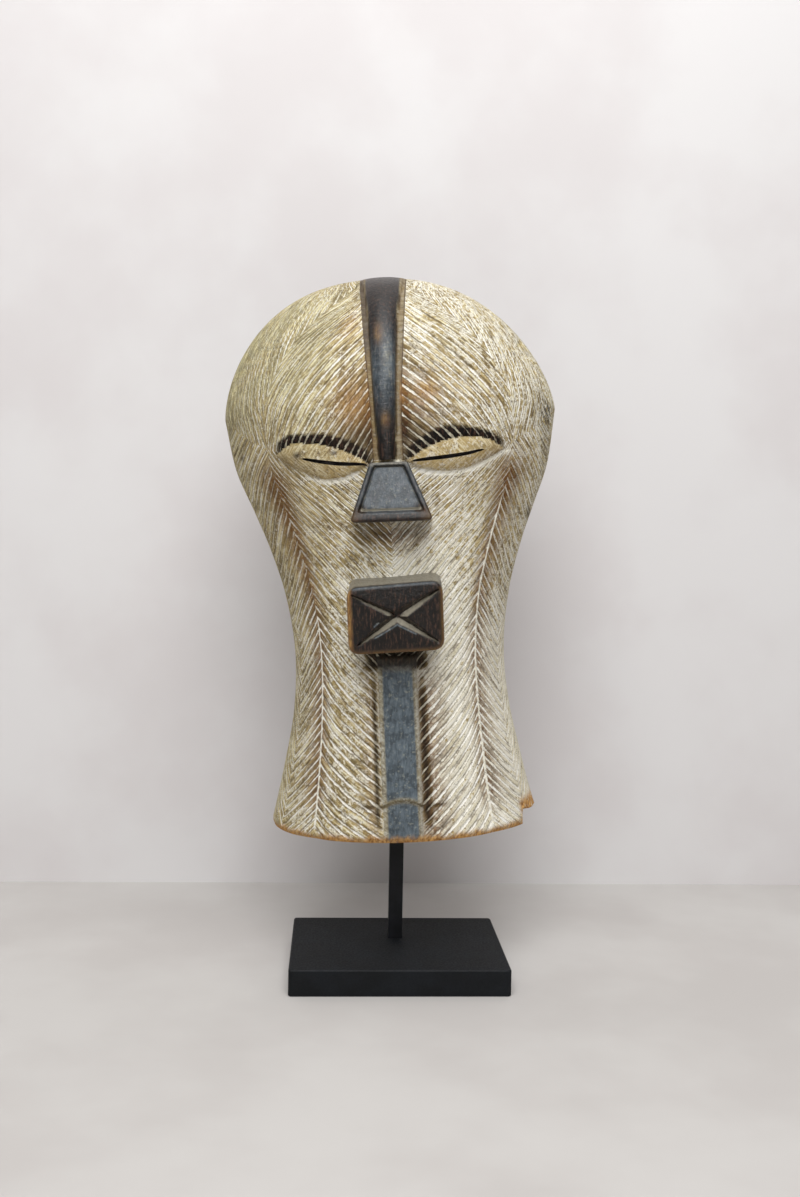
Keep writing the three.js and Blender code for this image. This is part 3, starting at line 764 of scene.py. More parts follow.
def clay_share(here, blue, painted):
    """How much clay is left: a sum of soft spots, less on paint, and more on the worn blue edges."""
    x, z, v, across, right = here.x, here.z, here.v, here.across, here.right
    spine_end = 1 - smooth(150 + 70 * right, 160 + 90 * right, z)
    spine_line = (np.abs(across - 2) < 0.001) * spine_end * smooth(4, 12, z)
    clay = (0.3 + 0.25 * smooth(-0.3, 0.4, here.w)
            + 0.4 * (1 - smooth(1.3, 1.9, across)) * near(v, 165, 60) * (0.6 + 0.4 * right)
            + 0.35 * (1 - smooth(120, 190, v)) * (0.6 + 0.6 * right)
            + 0.3 * near(x, -0.8, 36) * near(z, 184, 9)
            - 0.1 * smooth(2.1, 2.6, across) * (1 - right) - 0.12 * here.on_lid
            + 1.8 * here.lower_edge + 1.6 * spine_line)
    edge_dust = here.stripe * smooth(0.74, 0.84, across) * (1 - smooth(0.96, 1.0, across))
    clay = clay * (1 - smooth(0.2, 0.6, painted)) + 0.06 * painted
    # The crest's painted reflection is lightened with clay as well.
    return clay + 0.3 * here.sheen + 0.7 * edge_dust * blue


def grey_film(here):
    """The thin grey haze of dust, thickest on the forehead at the viewer's left."""
    v, across, right = here.v, here.across, here.right
    return (0.1 + 0.5 * (1 - right) * smooth(1.2, 1.6, across) * near(v, 345, 60)
            + 0.2 * (1 - right) * smooth(2, 2.4, across)
            + 0.15 * right * near(across, 1.5, 0.3) * near(v, 345, 25)
            + 0.1 * here.on_lid + 0.2 * smooth(2.3, 2.8, across) + 0.3 * here.border)


# %% Painting the outside


def paint_skin(obj):
    """Works out the paint, wear and painted shade on every corner of the carved grid and stores them, and
    none on the back.
    """
    vertex, face = corner_tables(obj.data)
    w = np.concatenate([grid_w.ravel(), [0, 0]])
    z = np.concatenate([grid_z.ravel(), [MASK_HEIGHT, 0]])
    here = skin_places(w[vertex], z[vertex], face_middle(w, vertex, face), face_middle(z, vertex, face))
    dark, blue = dark_paint_and_shade(here), blue_paint_and_sheen(here)
    painted = np.maximum(dark, blue)
    rubbed_out = 0.5 * near(here.across, 2, 0.35) * smooth(150, 190, here.v) * (1 - smooth(262, 280, here.v))
    forms = (dark, blue, bare_wood(here))
    finish = (here.depth * (1 - rubbed_out), clay_share(here, blue, painted), brown_stain_and_shade(here),
              grey_film(here) * (1 - painted))
    back = face >= (grid_w.shape[0] - 1) * (grid_w.shape[1] - 1)
    store(obj, np.where(back, 0, here.phase), [np.where(back, 0, value) for value in forms],
          [np.where(back, 0, value) for value in finish])


paint_skin(mask)
print("paint stored on corners:", len(mask.data.loops))

# %% [markdown]
# ## Nose and mouth
# Both are blocks that stand out from the face. They could be raised from the same grid, but their
# sides are too steep for it. So a block's front is made of rings, each a smaller copy of the outline,
# and a frame, a sunk panel or a cross of grooves is one height worked out on them. The last rings run
# back into the head, where the join hides them.

# %% Outlines with rounded corners


def rounded_outline(corners, radius, count):
    """Points at even steps along a polygon whose corners are arcs of one radius, anticlockwise.

    Each corner is cut back along both edges by radius * tan(half its turn), and a quadratic curve
    with the corner as its control point joins the two cuts.
    """
    corners = np.array(corners, float)
    before, after = np.roll(corners, 1, 0), np.roll(corners, -1, 0)
    to_before = (before - corners) / np.linalg.norm(before - corners, axis=1, keepdims=True)
    to_after = (after - corners) / np.linalg.norm(after - corners, axis=1, keepdims=True)
    turn = np.pi - np.arccos(np.clip((to_before * to_after).sum(1), -1, 1))
    cut = radius * np.tan(turn / 2)[:, None]
    start, end = corners + to_before * cut, corners + to_after * cut
    t = np.linspace(0, 1, 24)[None, :, None]
    arcs = start[:, None] * (1 - t)**2 + 2 * corners[:, None] * t * (1 - t) + end[:, None] * t**2
    line = arcs.reshape(-1, 2)
    line = np.concatenate([line, line[:1]])
    run = np.concatenate([[0], np.cumsum(np.linalg.norm(np.diff(line, axis=0), axis=1))])
    at = np.linspace(0, run[-1], count, endpoint=False)
    return np.stack([np.interp(at, run, line[:, 0]), np.interp(at, run, line[:, 1])], -1)


def block(name, rings, front_tip, back_tip):
    """A closed mesh from rings of points, from the front's middle outwards and then back."""
    count, around = rings.shape[:2]
    points = np.concatenate([rings.reshape(-1, 3), [front_tip, back_tip]])
    first = np.append(np.arange(around), 0)
    last = first + (count - 1) * around
    return make_mesh(name, points, grid_faces(count, around, wrap=True)[:, ::-1],
                     fan(first, len(points) - 2), fan(last[::-1], len(points) - 1))


# %% The nose
NOSE = {"corners": [(-28.0, 221.5), (27.8, 221.5), (12.0, 261.5), (-13.8, 261.5)], "rounding": 2.2,
        "y_top": -102.5, "y_bottom": -116.0, "root": -84.0}
NOSE_MIDDLE = np.array([-0.6, 250.5])
NOSE_BOTTOM, NOSE_TOP = NOSE["corners"][0][1], NOSE["corners"][2][1]
NOSE_PANEL, NOSE_FRAME = 0.72, 0.78
NOSE_BEAD, NOSE_GROOVE, NOSE_SUNK = 1.3, 1.5, 1.0


def nose_height(share):
    """Height of the nose's front over its plain slope, by ring share (0 middle, 1 edge).

    The panel is flat and sunk, a narrow groove runs round it, and the frame is a low bead.
    """
    bead_middle = 0.5 * (NOSE_FRAME + 1)
    bead_half = 0.5 * (1 - NOSE_FRAME)
    bead = NOSE_BEAD * np.sqrt(np.clip(1 - ((share - bead_middle) / bead_half)**2, 0, 1))
    groove = -NOSE_GROOVE * near(share, NOSE_PANEL + 0.03, 0.03)
    return bead + groove - NOSE_SUNK * (1 - smooth(NOSE_PANEL - 0.02, NOSE_PANEL + 0.08, share))


def nose_slope(z):
    """Depth of the nose's plain front at a height: it stands out more towards its foot."""
    fall = (NOSE["y_top"] - NOSE["y_bottom"]) / (NOSE_TOP - NOSE_BOTTOM)
    return NOSE["y_bottom"] + fall * (z - NOSE_BOTTOM)


def nose_rings():
    """Rings of the wedge, middle + share * (outline - middle), then its sides back to the root."""
    outline = rounded_outline(NOSE["corners"], NOSE["rounding"], 132)
    share = np.concatenate([np.linspace(0.08, NOSE_PANEL - 0.03, 12), np.linspace(NOSE_PANEL - 0.01, 1, 26)])
    flat = NOSE_MIDDLE + share[:, None, None] * (outline - NOSE_MIDDLE)
    y = nose_slope(flat[..., 1]) - nose_height(share)[:, None]
    front = np.stack([flat[..., 0], y, flat[..., 1]], -1)
    edge, edge_y = front[-1], front[-1][:, 1:2]
    back = np.stack([edge * (1, 0, 1) + np.array([0, 1, 0]) * (edge_y + (NOSE["root"] - edge_y) * s)
                     for s in (0.04, 0.12, 0.3, 0.55, 0.8, 1.0)])
    return np.concatenate([front, back]), np.concatenate([share, np.ones(len(back))])


def paint_nose(obj, rings, ring_share):
    """Dark all over, grey-blue in the panel, clay in its groove, worn low corners, and painted shade
    under the bead and in the panel's sunk low corners.
    """
    vertex, _ = corner_tables(obj.data)
    share = np.concatenate([np.repeat(ring_share, rings.shape[1]), [0, 1]])[vertex]
    points = np.concatenate([rings.reshape(-1, 3), [(0, 0, 250), (0, 0, 240)]])[vertex]
    x, y, z = points[:, 0] - NOSE_MIDDLE[0], points[:, 1], points[:, 2]
    line = near(share, NOSE_PANEL + 0.01, 0.03) * np.maximum(1 - smooth(229, 232, z), smooth(256, 259, z))
    line = np.maximum(line, 0.4 * near(share, NOSE_PANEL + 0.01, 0.025))
    line = np.maximum(line, 0.5 * smooth(256, 261, z) * (share < 0.97))
    frame = smooth(NOSE_PANEL, NOSE_PANEL + 0.08, share)
    behind = smooth(-108, -98, y) * (share > 0.99)
    low_corner = near(z, NOSE_BOTTOM + 3, 6) * smooth(17, 26, np.abs(x)) * frame
    # The bead's lower face looks down: less slate there, as painted shade.
    under = (share > 0.84) * near(z, NOSE_BOTTOM, 4.4)
    # The panel's sunk low corners: less slate there, as painted shade.
    painted_corner_shade = near(z, 230, 3) * near(np.abs(x), 18.5, 2.5)
    blue = np.clip(0.62 - 0.3 * frame - 0.6 * low_corner - 0.9 * under - behind - 0.8 * painted_corner_shade, 0, 1)
    clay = np.clip(0.9 * line + 0.1 * (1 - frame), 0, 1)
    store(obj, forms=(1.0, blue, 0.12 * low_corner), finish=(0.0, clay, 0.0, 0.0))


rings, ring_share = nose_rings()
nose = block("nose_cut", rings, (NOSE_MIDDLE[0], nose_slope(NOSE_MIDDLE[1]) + NOSE_SUNK, NOSE_MIDDLE[1]),
             (NOSE_MIDDLE[0], NOSE["root"], 0.5 * (NOSE_TOP + NOSE_BOTTOM)))
paint_nose(nose, rings, ring_share)
print("nose faces:", len(nose.data.polygons))

# %% The cross on the mouth
MOUTH = {"corners": [(-31.8, 133.4), (32.2, 134.8), (32.2, 181.0), (-31.8, 177.8)], "corner": 8.4,
         "front": -121.5, "root": -84.0, "bevel": 2.2, "undercut": 7.0, "top_rise": 6.0}
CROSS_CENTRE = np.array([1.2, 158.3])
CROSS_ARMS = [((-28, 172.7), 2.7), ((29, 174.6), 4.4), ((-25, 139.8), 3.9), ((28, 140.4), 3.9)]
CROSS_DEPTH = 1.7


def cross_width(x, z):
    """Distance to the nearest arm of the cross less its half-width, the share of it, and 1 below it."""
    best = np.full(np.shape(x), 99.0)
    share_best, lower = np.zeros(np.shape(x)), np.zeros(np.shape(x))
    for tip, wide in CROSS_ARMS:
        arm = np.array(tip) - CROSS_CENTRE
        dx, dz = x - CROSS_CENTRE[0], z - CROSS_CENTRE[1]
        t = np.clip((dx * arm[0] + dz * arm[1]) / (arm @ arm), 0, 1)
        away = np.hypot(dx - t * arm[0], dz - t * arm[1])
        half = wide * np.clip(1.15 - t, 0.15, 1)**0.8
        gap = away - half
        under = (arm[0] * dz - arm[1] * dx) * np.sign(arm[0]) < 0
        share_best = np.where(gap < best, away / half, share_best)
        lower = np.where(gap < best, under, lower)
        best = np.minimum(best, gap)
    return best, share_best, lower


print("arms of the cross:", len(CROSS_ARMS), "depth in mm:", CROSS_DEPTH)

# %% The mouth


def mouth_front(share, edge, middle):
    """The front's rings: a low dome, less a V-shaped cut that is deepest along each arm's middle."""
    flat = middle + share[:, None, None] * (edge - middle)
    gap, part, lower = cross_width(flat[..., 0], flat[..., 1])
    cut = np.where(part < 1, CROSS_DEPTH * (1 - part), 0) * np.clip(1 - gap, 0, 2.2)
    dome = 0.8 * (1 - share[:, None]**2)
    return np.stack([flat[..., 0], MOUTH["front"] - dome + cut, flat[..., 1]], -1), flat, gap, lower


def mouth_sides(outline, edge, middle):
    """A rounded bevel, bevel * (sin, 1 - cos), then sides that rise and undercut towards the root."""
    turn = np.radians([22.5, 45, 67.5, 90])[:, None]
    bevel_xz = edge + (outline - edge) * np.sin(turn)[..., None]
    bevel_y = np.broadcast_to(MOUTH["front"] + MOUTH["bevel"] * (1 - np.cos(turn)), bevel_xz.shape[:2])
    sides = []
    for s in (0.12, 0.3, 0.5, 0.7, 0.85, 1.0):
        xz = outline.copy()
        top = smooth(middle[1], middle[1] + 19, xz[:, 1])
        low = 1 - smooth(middle[1] - 22, middle[1], xz[:, 1])
        xz[:, 1] += s * MOUTH["top_rise"] * top + s * MOUTH["undercut"] * low
        y = MOUTH["front"] + MOUTH["bevel"] + (MOUTH["root"] - MOUTH["front"] - MOUTH["bevel"]) * s
        sides.append(np.stack([xz[:, 0], np.full(len(xz), y), xz[:, 1]], -1))
    return np.stack([bevel_xz[..., 0], bevel_y, bevel_xz[..., 1]], -1), np.array(sides)


def paint_mouth(obj, rings, flat, gap, lower):
    """Black all over, with clay in the cross, dust on the top face, and painted blue-grey highlights on
    the upper rim and below the cross. Each arm's lower side gets more clay, partly as painted light.
    """
    front, count, corner = MOUTH["front"], len(flat), np.array(MOUTH["corners"][3])
    x, y, z = rings[..., 0], rings[..., 1], rings[..., 2]
    heart = np.hypot(flat[..., 0] - CROSS_CENTRE[0], flat[..., 1] - CROSS_CENTRE[1] - 3)
    clay = np.zeros(rings.shape[:2])
    # Each arm's lower side faces up and gets more clay: partly clay, partly painted light.
    clay[:count] = (1 - smooth(-1.3, 0.7, gap)) * smooth(1.5, 6, heart) * (0.26 + 0.4 * lower)
    top_edge = corner[1] + 0.05 * (x - corner[0])
    top_dust = smooth(-3, 0, z - top_edge) * smooth(front + 2, front + 4, y)
    worn_left = 1 - smooth(corner[0] + 1.5, corner[0] + 4.2, x)
    worn_left = worn_left * (1 - smooth(front + 1, front + 14, y))
    edge_ring = near(np.arange(len(rings)), count + 2, 2.2)[:, None]
    worn_edge = 0.34 * edge_ring * (1 - smooth(-6, -3, z - top_edge))
    # A painted highlight along the front's top edge, in blue-grey and clay.
    painted_top_edge_highlight = near(z, top_edge - 0.6, 0.9) * (y < front + 2)
    # A painted blue-grey highlight on the lower facet's edge, below the middle of the cross.
    below = near(gap, 0.7, 0.5) * (flat[..., 1] < CROSS_CENTRE[1] - 4) * (np.abs(flat[..., 0]) < 14)
    blue = 0.6 * painted_top_edge_highlight
    blue[:count] = np.maximum(blue[:count], below)
    vertex, _ = corner_tables(obj.data)
    clay, blue, top_dust, worn_left, worn_edge = (
        np.append(field.ravel(), [field.flat[0], 0])[vertex]
        for field in (clay, blue, top_dust, worn_left, worn_edge))
    clay = np.clip(clay + 0.55 * top_dust + 0.35 * blue, 0, 1)
    store(obj, forms=(1.0, blue, np.maximum(0.55 * worn_left, worn_edge)), finish=(0.0, clay, 0.0, 0.0))


def mouth_block():
    """The mouth: a box with rounded corners and a cross cut into its front in shallow V grooves."""
    corners, rounding, bevel = np.array(MOUTH["corners"]), MOUTH["corner"], MOUTH["bevel"]
    middle = corners.mean(0)
    outline = rounded_outline(corners, rounding, 208)
    edge = rounded_outline(corners - np.sign(corners - middle) * bevel, rounding - bevel, 208)
    front, flat, gap, lower = mouth_front(np.linspace(0.04, 1, 32), edge, middle)
    rings = np.concatenate([front, *mouth_sides(outline, edge, middle)])
    obj = block("mouth_cut", rings, (middle[0], MOUTH["front"] + 1.4, middle[1]),
                (middle[0], MOUTH["root"], middle[1]))
    paint_mouth(obj, rings, flat, gap, lower)
    return obj


mouth = mouth_block()
print("mouth faces:", len(mouth.data.polygons))

# %% [markdown]
# ## The hollow and the cuts
# The mask is worn on the face, so it is hollowed from behind to a wall of 12 mm, and the eyes are
# pierced as thin slits. The corner that broke off, a small hole at the rim and the blind socket for
# the rod are cut as well. All this could be built into the grid, but a closed cutter taken away by a
# boolean keeps each form simple, and a cut is what it is on the real mask.

# %% The hollow
HOLLOW_TOP = MASK_HEIGHT - CROWN_WALL
GOUGE_DEPTH, DEPTH_OF_HEAD = 0.5, 80


def hollow_form():
    """The inside of the wall: the plain form moved in by the wall, with the marks of a gouge."""
    z, _, _ = heights_along_skin(100, top=HOLLOW_TOP, wall=WALL)
    angle, z = np.meshgrid(np.linspace(-90, 90, 81), z[:-1])
    p = head_point(angle, z, HOLLOW_TOP, WALL)
    marks = GOUGE_DEPTH * slow_wave(angle / 5, z / 9, 21) * (1 - smooth(80, 90, np.abs(angle)))
    p = p * (1 + (marks / DEPTH_OF_HEAD)[..., None] * (1, 1, 0))
    p[..., 1] = np.where(np.abs(angle) > 89.9, 0, np.minimum(p[..., 1], 0)) + 1
    p[0, :, 2] = -1
    obj = closed_form("hollow_cutter", p, (0, 1, HOLLOW_TOP))
    store(obj)
    return obj


# %% Slits, break and hole
SLIT_BEFORE, SLIT_BEHIND = 9, 22
BREAK_BACK, BREAK_FRONT, BREAK_LEFT, BREAK_RIGHT = 3, -62, 87, 112
BREAK_HEIGHT, BREAK_SLOPE, BREAK_UNDER, BREAK_ROUNDED_FROM = 2, 0.22, -5, 93
HOLE_BACK, HOLE_HEIGHT, HOLE_RADIUS, HOLE_ENDS = -12, 228, 2.0, (84, 124)


def cutter(name, rings, dark, bare):
    """A closed cutter from rings, each anticlockwise as seen from the first one's side."""
    obj = block(name, rings, rings[0].mean(0), rings[-1].mean(0))
    store(obj, forms=(dark, 0.0, bare))
    return obj


def slit_cutter(eye, number):
    """The slit of an eye: a sliver with pointed ends that slopes down inwards, so no light shows.

    Its half-height is (4t(1 - t))^0.4 of the whole, with t from 0 to 1 along the slit.
    """
    t = np.linspace(0, 1, 24)
    x = eye["slit"][0] + (eye["slit"][1] - eye["slit"][0]) * t
    _, line, _, _ = eye_lines(eye, x)
    half = SLIT_HEIGHT / 2 * (4 * t * (1 - t))**0.4 + 0.1
    skin = -depth_below(line) * np.sqrt(1 - (x / half_width(x, line))**2)
    near_y, far_y = skin - SLIT_BEFORE, skin + SLIT_BEHIND
    near_z, far_z = (line - SLIT_FALL * (y - skin + LID_BULGE) for y in (near_y, far_y))
    rings = [(x, near_y, near_z - half), (x, near_y, near_z + half),
             (x, far_y, far_z + half), (x, far_y, far_z - half)]
    # The slit's walls get dark paint as painted shade, so the slit looks black.
    return cutter("slit_%d" % number, np.array(rings).transpose(2, 0, 1), 1.0, 0.0)


def chip_cutter():
    """The break at the lower right: a wedge with a torn surface, higher towards the front.

    Its upper face is height - slope * y + two slow waves, and curves up at the outer end.
    """
    y = np.linspace(BREAK_FRONT, BREAK_BACK, 30)[:, None]
    x = np.linspace(BREAK_RIGHT, BREAK_LEFT, 24)[None, :]
    torn = 0.8 * slow_wave(y / 3, x / 2.2, 31) + 0.5 * slow_wave(y * 1.3, x * 1.7, 32)
    rounded = 0.3 * np.maximum(x - BREAK_ROUNDED_FROM, 0)**1.5
    top = np.stack(np.broadcast_arrays(x, y, BREAK_HEIGHT - BREAK_SLOPE * y + torn + rounded), -1)
    down = np.linspace(1, 0, 12)[None, 1:]
    left_x = BREAK_LEFT - 0.5 + 0.7 * slow_wave(y / 2.5, down * 7, 33)
    left_z = BREAK_UNDER + (BREAK_HEIGHT - BREAK_UNDER - BREAK_SLOPE * y) * down
    left = np.stack(np.broadcast_arrays(left_x, y, left_z), -1)
    low = np.stack(np.broadcast_arrays(float(BREAK_RIGHT), y, float(BREAK_UNDER)), -1)
    return cutter("chip", np.concatenate([low, top, left], 1), 0.0, 1.0)


def hole_cutter():
    """A small round hole close behind the right rim: a cylinder along x."""
    turn = np.linspace(0, 2 * math.pi, 20, endpoint=False)
    ring = np.stack([0 * turn, HOLE_BACK - HOLE_RADIUS * np.cos(turn),
                     HOLE_HEIGHT + HOLE_RADIUS * np.sin(turn)], -1)
    return cutter("hole", np.stack([ring + (x, 0, 0) for x in HOLE_ENDS]), 1.0, 0.0)


hollow = hollow_form()
cutters = [hollow, chip_cutter(), hole_cutter()] + [slit_cutter(eye, i) for i, eye in enumerate(EYES)]
print("cutters:", [tool.name for tool in cutters])

# %% Joining and cutting


def boolean(target, tool, operation):
    """Joins or cuts with the solver for closed meshes, and applies the result."""
    modifier = target.modifiers.new(operation.lower(), "BOOLEAN")
    modifier.object, modifier.operation, modifier.solver = tool, operation, "MANIFOLD"
    with bpy.context.temp_override(object=target, active_object=target, selected_objects=[target]):
        bpy.ops.object.modifier_apply(modifier=modifier.name)
    bpy.data.objects.remove(tool, do_unlink=True)


for piece in (mask, hollow):
    piece.data.materials.append(None)
    piece.data.materials.append(None)
hollow.data.polygons.foreach_set("material_index", np.ones(len(hollow.data.polygons), np.int32))
for tool in (nose, mouth):
    boolean(mask, tool, "UNION")
for tool in cutters:
    boolean(mask, tool, "DIFFERENCE")
print("mask after joining and cutting:", len(mask.data.vertices), "points,",
      sum(len(p.vertices) - 2 for p in mask.data.polygons), "triangles")

# %% [markdown]
# ## Onto the stand
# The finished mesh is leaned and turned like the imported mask: first about y, then about z, then
# moved. The object's own rotation could do it, but the points themselves are moved, so the object
# stays at the origin and a pattern in object coordinates is in real metres.

# %% Placing the mask
lean = np.array([[math.cos(LEAN), 0, math.sin(LEAN)], [0, 1, 0], [-math.sin(LEAN), 0, math.cos(LEAN)]])
yaw = np.array([[math.cos(YAW), -math.sin(YAW), 0], [math.sin(YAW), math.cos(YAW), 0], [0, 0, 1]])
to_stand = yaw @ lean
SOCKET_DEPTH, SOCKET_CLEARANCE = 60, 0.3


def place(obj):
    """Moves every point p to turn * p + place."""
    points = np.empty(len(obj.data.vertices) * 3)
    obj.data.vertices.foreach_get("co", points)
    points = points.reshape(-1, 3) @ to_stand.T + np.array(PLACE) * MM
    obj.data.vertices.foreach_set("co", points.ravel())
    obj.data.update()


def rod_socket():
    """A square hole for the end of the rod, wider by the clearance, already in the stand's place."""
    low, high = (np.array(corner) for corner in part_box("stand_rod"))
    grow = SOCKET_CLEARANCE * MM
    corners = np.array([[low[0], low[1]], [high[0], low[1]], [high[0], high[1]], [low[0], high[1]]])
    corners += grow * np.array([[-1, -1], [1, -1], [1, 1], [-1, 1]])
    bottom, top = high[2] - SOCKET_DEPTH * MM, high[2] + grow
    points = np.concatenate([np.column_stack([corners, np.full(4, h)]) for h in (bottom, top)]) / MM
    faces = np.array([[3, 2, 1, 0], [4, 5, 6, 7], [0, 1, 5, 4], [1, 2, 6, 5], [2, 3, 7, 6], [3, 0, 4, 7]])
    obj = make_mesh("socket_cutter", points, faces)
    store(obj)
    return obj


place(mask)
boolean(mask, rod_socket(), "DIFFERENCE")
mask.data.set_sharp_from_angle(angle=math.radians(50))
print("mask box:", [tuple(round(c, 4) for c in corner) for corner in mask.bound_box][::6])

# %% [markdown]
# ## Colours, and one helper for nodes
# Colours are read off the photograph as screen values and turned into the linear light that the
# renderer mixes. A material is a net of nodes. It could be wired by hand in the editor, but in code a
# finish reads like its recipe. One small function adds a node, and a table says which of Blender's
# nodes each word stands for. A texture's scale is one over the size of its features in metres.

# %% Helpers for materials


def linear(code):
    """A screen colour such as 'E1D7BE' as linear light: ((s + 0.055) / 1.055)^2.4 above 0.04045."""
    s = np.array([int(code[i:i + 2], 16) for i in (0, 2, 4)]) / 255
    return (*np.where(s <= 0.04045, s / 12.92, ((s + 0.055) / 1.055)**2.4), 1.0)


def per_mm(size):
    """The texture scale at which one feature is about this many millimetres."""
    return 1000.0 / size


# Each word: Blender's node, its inputs in the order they are given, its settings, and its output
NODES = {
    "place": ("ShaderNodeTexCoord", (), {}, "Object"),
    "attribute": ("ShaderNodeAttribute", (), {}, None),
    "channels": ("ShaderNodeSeparateColor", (0,), {}, None),
    "apart": ("ShaderNodeSeparateXYZ", (0,), {}, None),
    "together": ("ShaderNodeCombineXYZ", (0, 1, 2), {}, 0),
    "stretch": ("ShaderNodeMapping", ("Vector", "Scale"), {}, 0),
    "noise": ("ShaderNodeTexNoise", ("Vector", "Scale", "Detail", "Roughness", "Distortion"), {}, "Fac"),
    "cells": ("ShaderNodeTexVoronoi", ("Vector", "Scale", "Smoothness"), {"feature": "SMOOTH_F1"},
              "Distance"),
    "step": ("ShaderNodeMapRange", ("Value", "From Min", "From Max", "To Min", "To Max"),
             {"interpolation_type": "SMOOTHSTEP"}, "Result"),
    "mix": ("ShaderNodeMix", (0, 6, 7), {"data_type": "RGBA"}, 2),
    "bump": ("ShaderNodeBump", ("Height", "Strength", "Distance"), {}, 0),
    "surface": ("ShaderNodeBsdfPrincipled", ("Base Color", "Roughness", "Specular IOR Level", "Normal"),
                {}, "BSDF"),
    "output": ("ShaderNodeOutputMaterial", ("Surface",), {}, None),
}
for operation in ("ADD", "SUBTRACT", "MULTIPLY", "MAXIMUM", "ROUND", "ABSOLUTE"):
    NODES[operation.lower()] = ("ShaderNodeMath", (0, 1), {"operation": operation}, 0)


def add_node(tree, word, *values, **settings):
    """Adds the node that a word stands for, and gives back its output or all of its outputs.

    The values go to its inputs in order. A value that is another node's output is linked.
    """
    kind, inputs, usual, output = NODES[word]
    made = tree.nodes.new(kind)
    for name, value in {**usual, **settings}.items():
        setattr(made, name, value)
    for socket, value in zip(inputs, values):
        if isinstance(value, bpy.types.NodeSocket):
            tree.links.new(value, made.inputs[socket])
        else:
            made.inputs[socket].default_value = value
    return made.outputs if output is None else made.outputs[output]


def new_material(name):
    """An empty node material, and add_node for its tree."""
    material = bpy.data.materials.new(name)
    material.use_nodes = True
    material.node_tree.nodes.clear()
    return material, functools.partial(add_node, material.node_tree)


print("words for nodes:", len(NODES))

# %% [markdown]
# ## The carved and painted wood
# The real finish is light wood that was cut with a knife, rubbed with white clay, painted dark on
# crest, brow, nose and mouth, and then handled for years. It could be painted onto an image, but an
# image has one fixed sharpness, so the colours come from the values on the corners and from noise.
# One material holds it all, because on the real mask one finish runs into the next without an edge.

# %% Stored values and soft noises
# Sizes of the marks in mm. Clay dust is finer than the picture can show, so its grit is drawn 1.1 mm
# wide. Wood fibres, really about 0.1 mm across, are drawn 1.4 mm wide. Both are just coarse enough.
PATCH, SPOT, FLECK, GRIT, FIBRE = 24, 6, 2.6, 1.1, 1.4

carved_wood, add = new_material("carved_wood_with_clay")
place_at = add("place")
phase = add("attribute", attribute_name="groove")["Fac"]
forms = add("attribute", attribute_name="forms")
finish = add("attribute", attribute_name="finish")
dark, blue, bare = add("channels", forms["Color"])
cut, clay, brown = add("channels", finish["Color"])
film = finish["Alpha"]
patches = add("noise", place_at, per_mm(PATCH), 4.0, 0.6)
spots = add("noise", place_at, per_mm(SPOT), 5.0, 0.65)
flecks = add("noise", place_at, per_mm(FLECK), 4.0, 0.7)
grit = add("noise", place_at, per_mm(GRIT), 3.0, 0.75)
fibres = add("noise", add("stretch", place_at, (1.0, 1.0, 0.22)), per_mm(FIBRE), 4.0, 0.7)
print("sizes of the noises in mm:", PATCH, SPOT, FLECK, GRIT, FIBRE)

# %% [markdown]
# The knife's streaks run along the grooves and no two grooves hold the same clay. An image could not
# follow such curves without being stretched, but noise can be read at any place. So the streaks read
# it at a place that changes fast with the groove phase and slowly with x and z, and each groove's own
# share reads it at a place that its whole number moves on.

# %% Distance to the nearest groove, and noise that follows the grooves
SCRATCH, GROOVE_RUN = 2.4, 12

waver = add("subtract", flecks, 0.5)
rough_phase = add("add", phase, add("multiply", waver, 0.34))
number = add("round", rough_phase)
distance = add("absolute", add("subtract", rough_phase, number))
x_at, _, z_at = add("apart", place_at)
streak_at = add("together", add("multiply", phase, 0.008), add("multiply", x_at, 0.12),
                add("multiply", z_at, 0.12))
scratches = add("noise", streak_at, per_mm(SCRATCH), 3.0, 0.7)
own_at = add("together", add("multiply", number, 0.13), x_at, z_at)
own_share = add("noise", own_at, per_mm(GROOVE_RUN), 3.0, 0.65)
print("streaks in mm:", SCRATCH, "and changes along a groove in mm:", GROOVE_RUN)

# %% [markdown]
# Ridges were rubbed bare by hands. They give the eye dull tan wood under olive dirt, pale flecks,
# streaks, remains of white powder and rust-brown stain. All of it could be one noise through a ramp
# of colours, but then the layers could not cross. So each is laid over the last by its own share.

# %% Ridges, from the wood outwards
clay_left = add("add", clay, add("multiply", add("subtract", spots, 0.5), 2.2))
fine = add("multiply", waver, 2.2)
powder = add("step", add("add", clay_left, fine), 0.45, 0.75, 0, 0.88)
stain = add("multiply", brown, add("step", flecks, 0.35, 0.6, 0.45, 1.0))
skin = add("mix", add("step", patches, 0.4, 0.6), linear("B09B69"), linear("927E54"))
for share, code in ((add("step", spots, 0.5, 0.66, 0, 0.85), "6E5436"),
                    (add("step", flecks, 0.47, 0.6, 0, 0.75), "D6CBA6"),
                    (add("step", scratches, 0.5, 0.62, 0, 0.8), "E2D8B8"),
                    (add("step", scratches, 0.42, 0.3, 0, 0.6), "574530"),
                    (powder, "F2EDDC"), (stain, "6A421C")):
    skin = add("mix", share, skin, linear(code))
print("nodes so far:", len(carved_wood.node_tree.nodes))

# %% [markdown]
# Clay stays where hands don't reach. It gives the eye a white line round each groove's middle, wide
# and full in one groove and thin and broken in the next, with painted shade on the cut's walls beside
# it. It could be a plain stripe, but a real one crumbles, so its width and strength follow the
# groove's own share and grit.

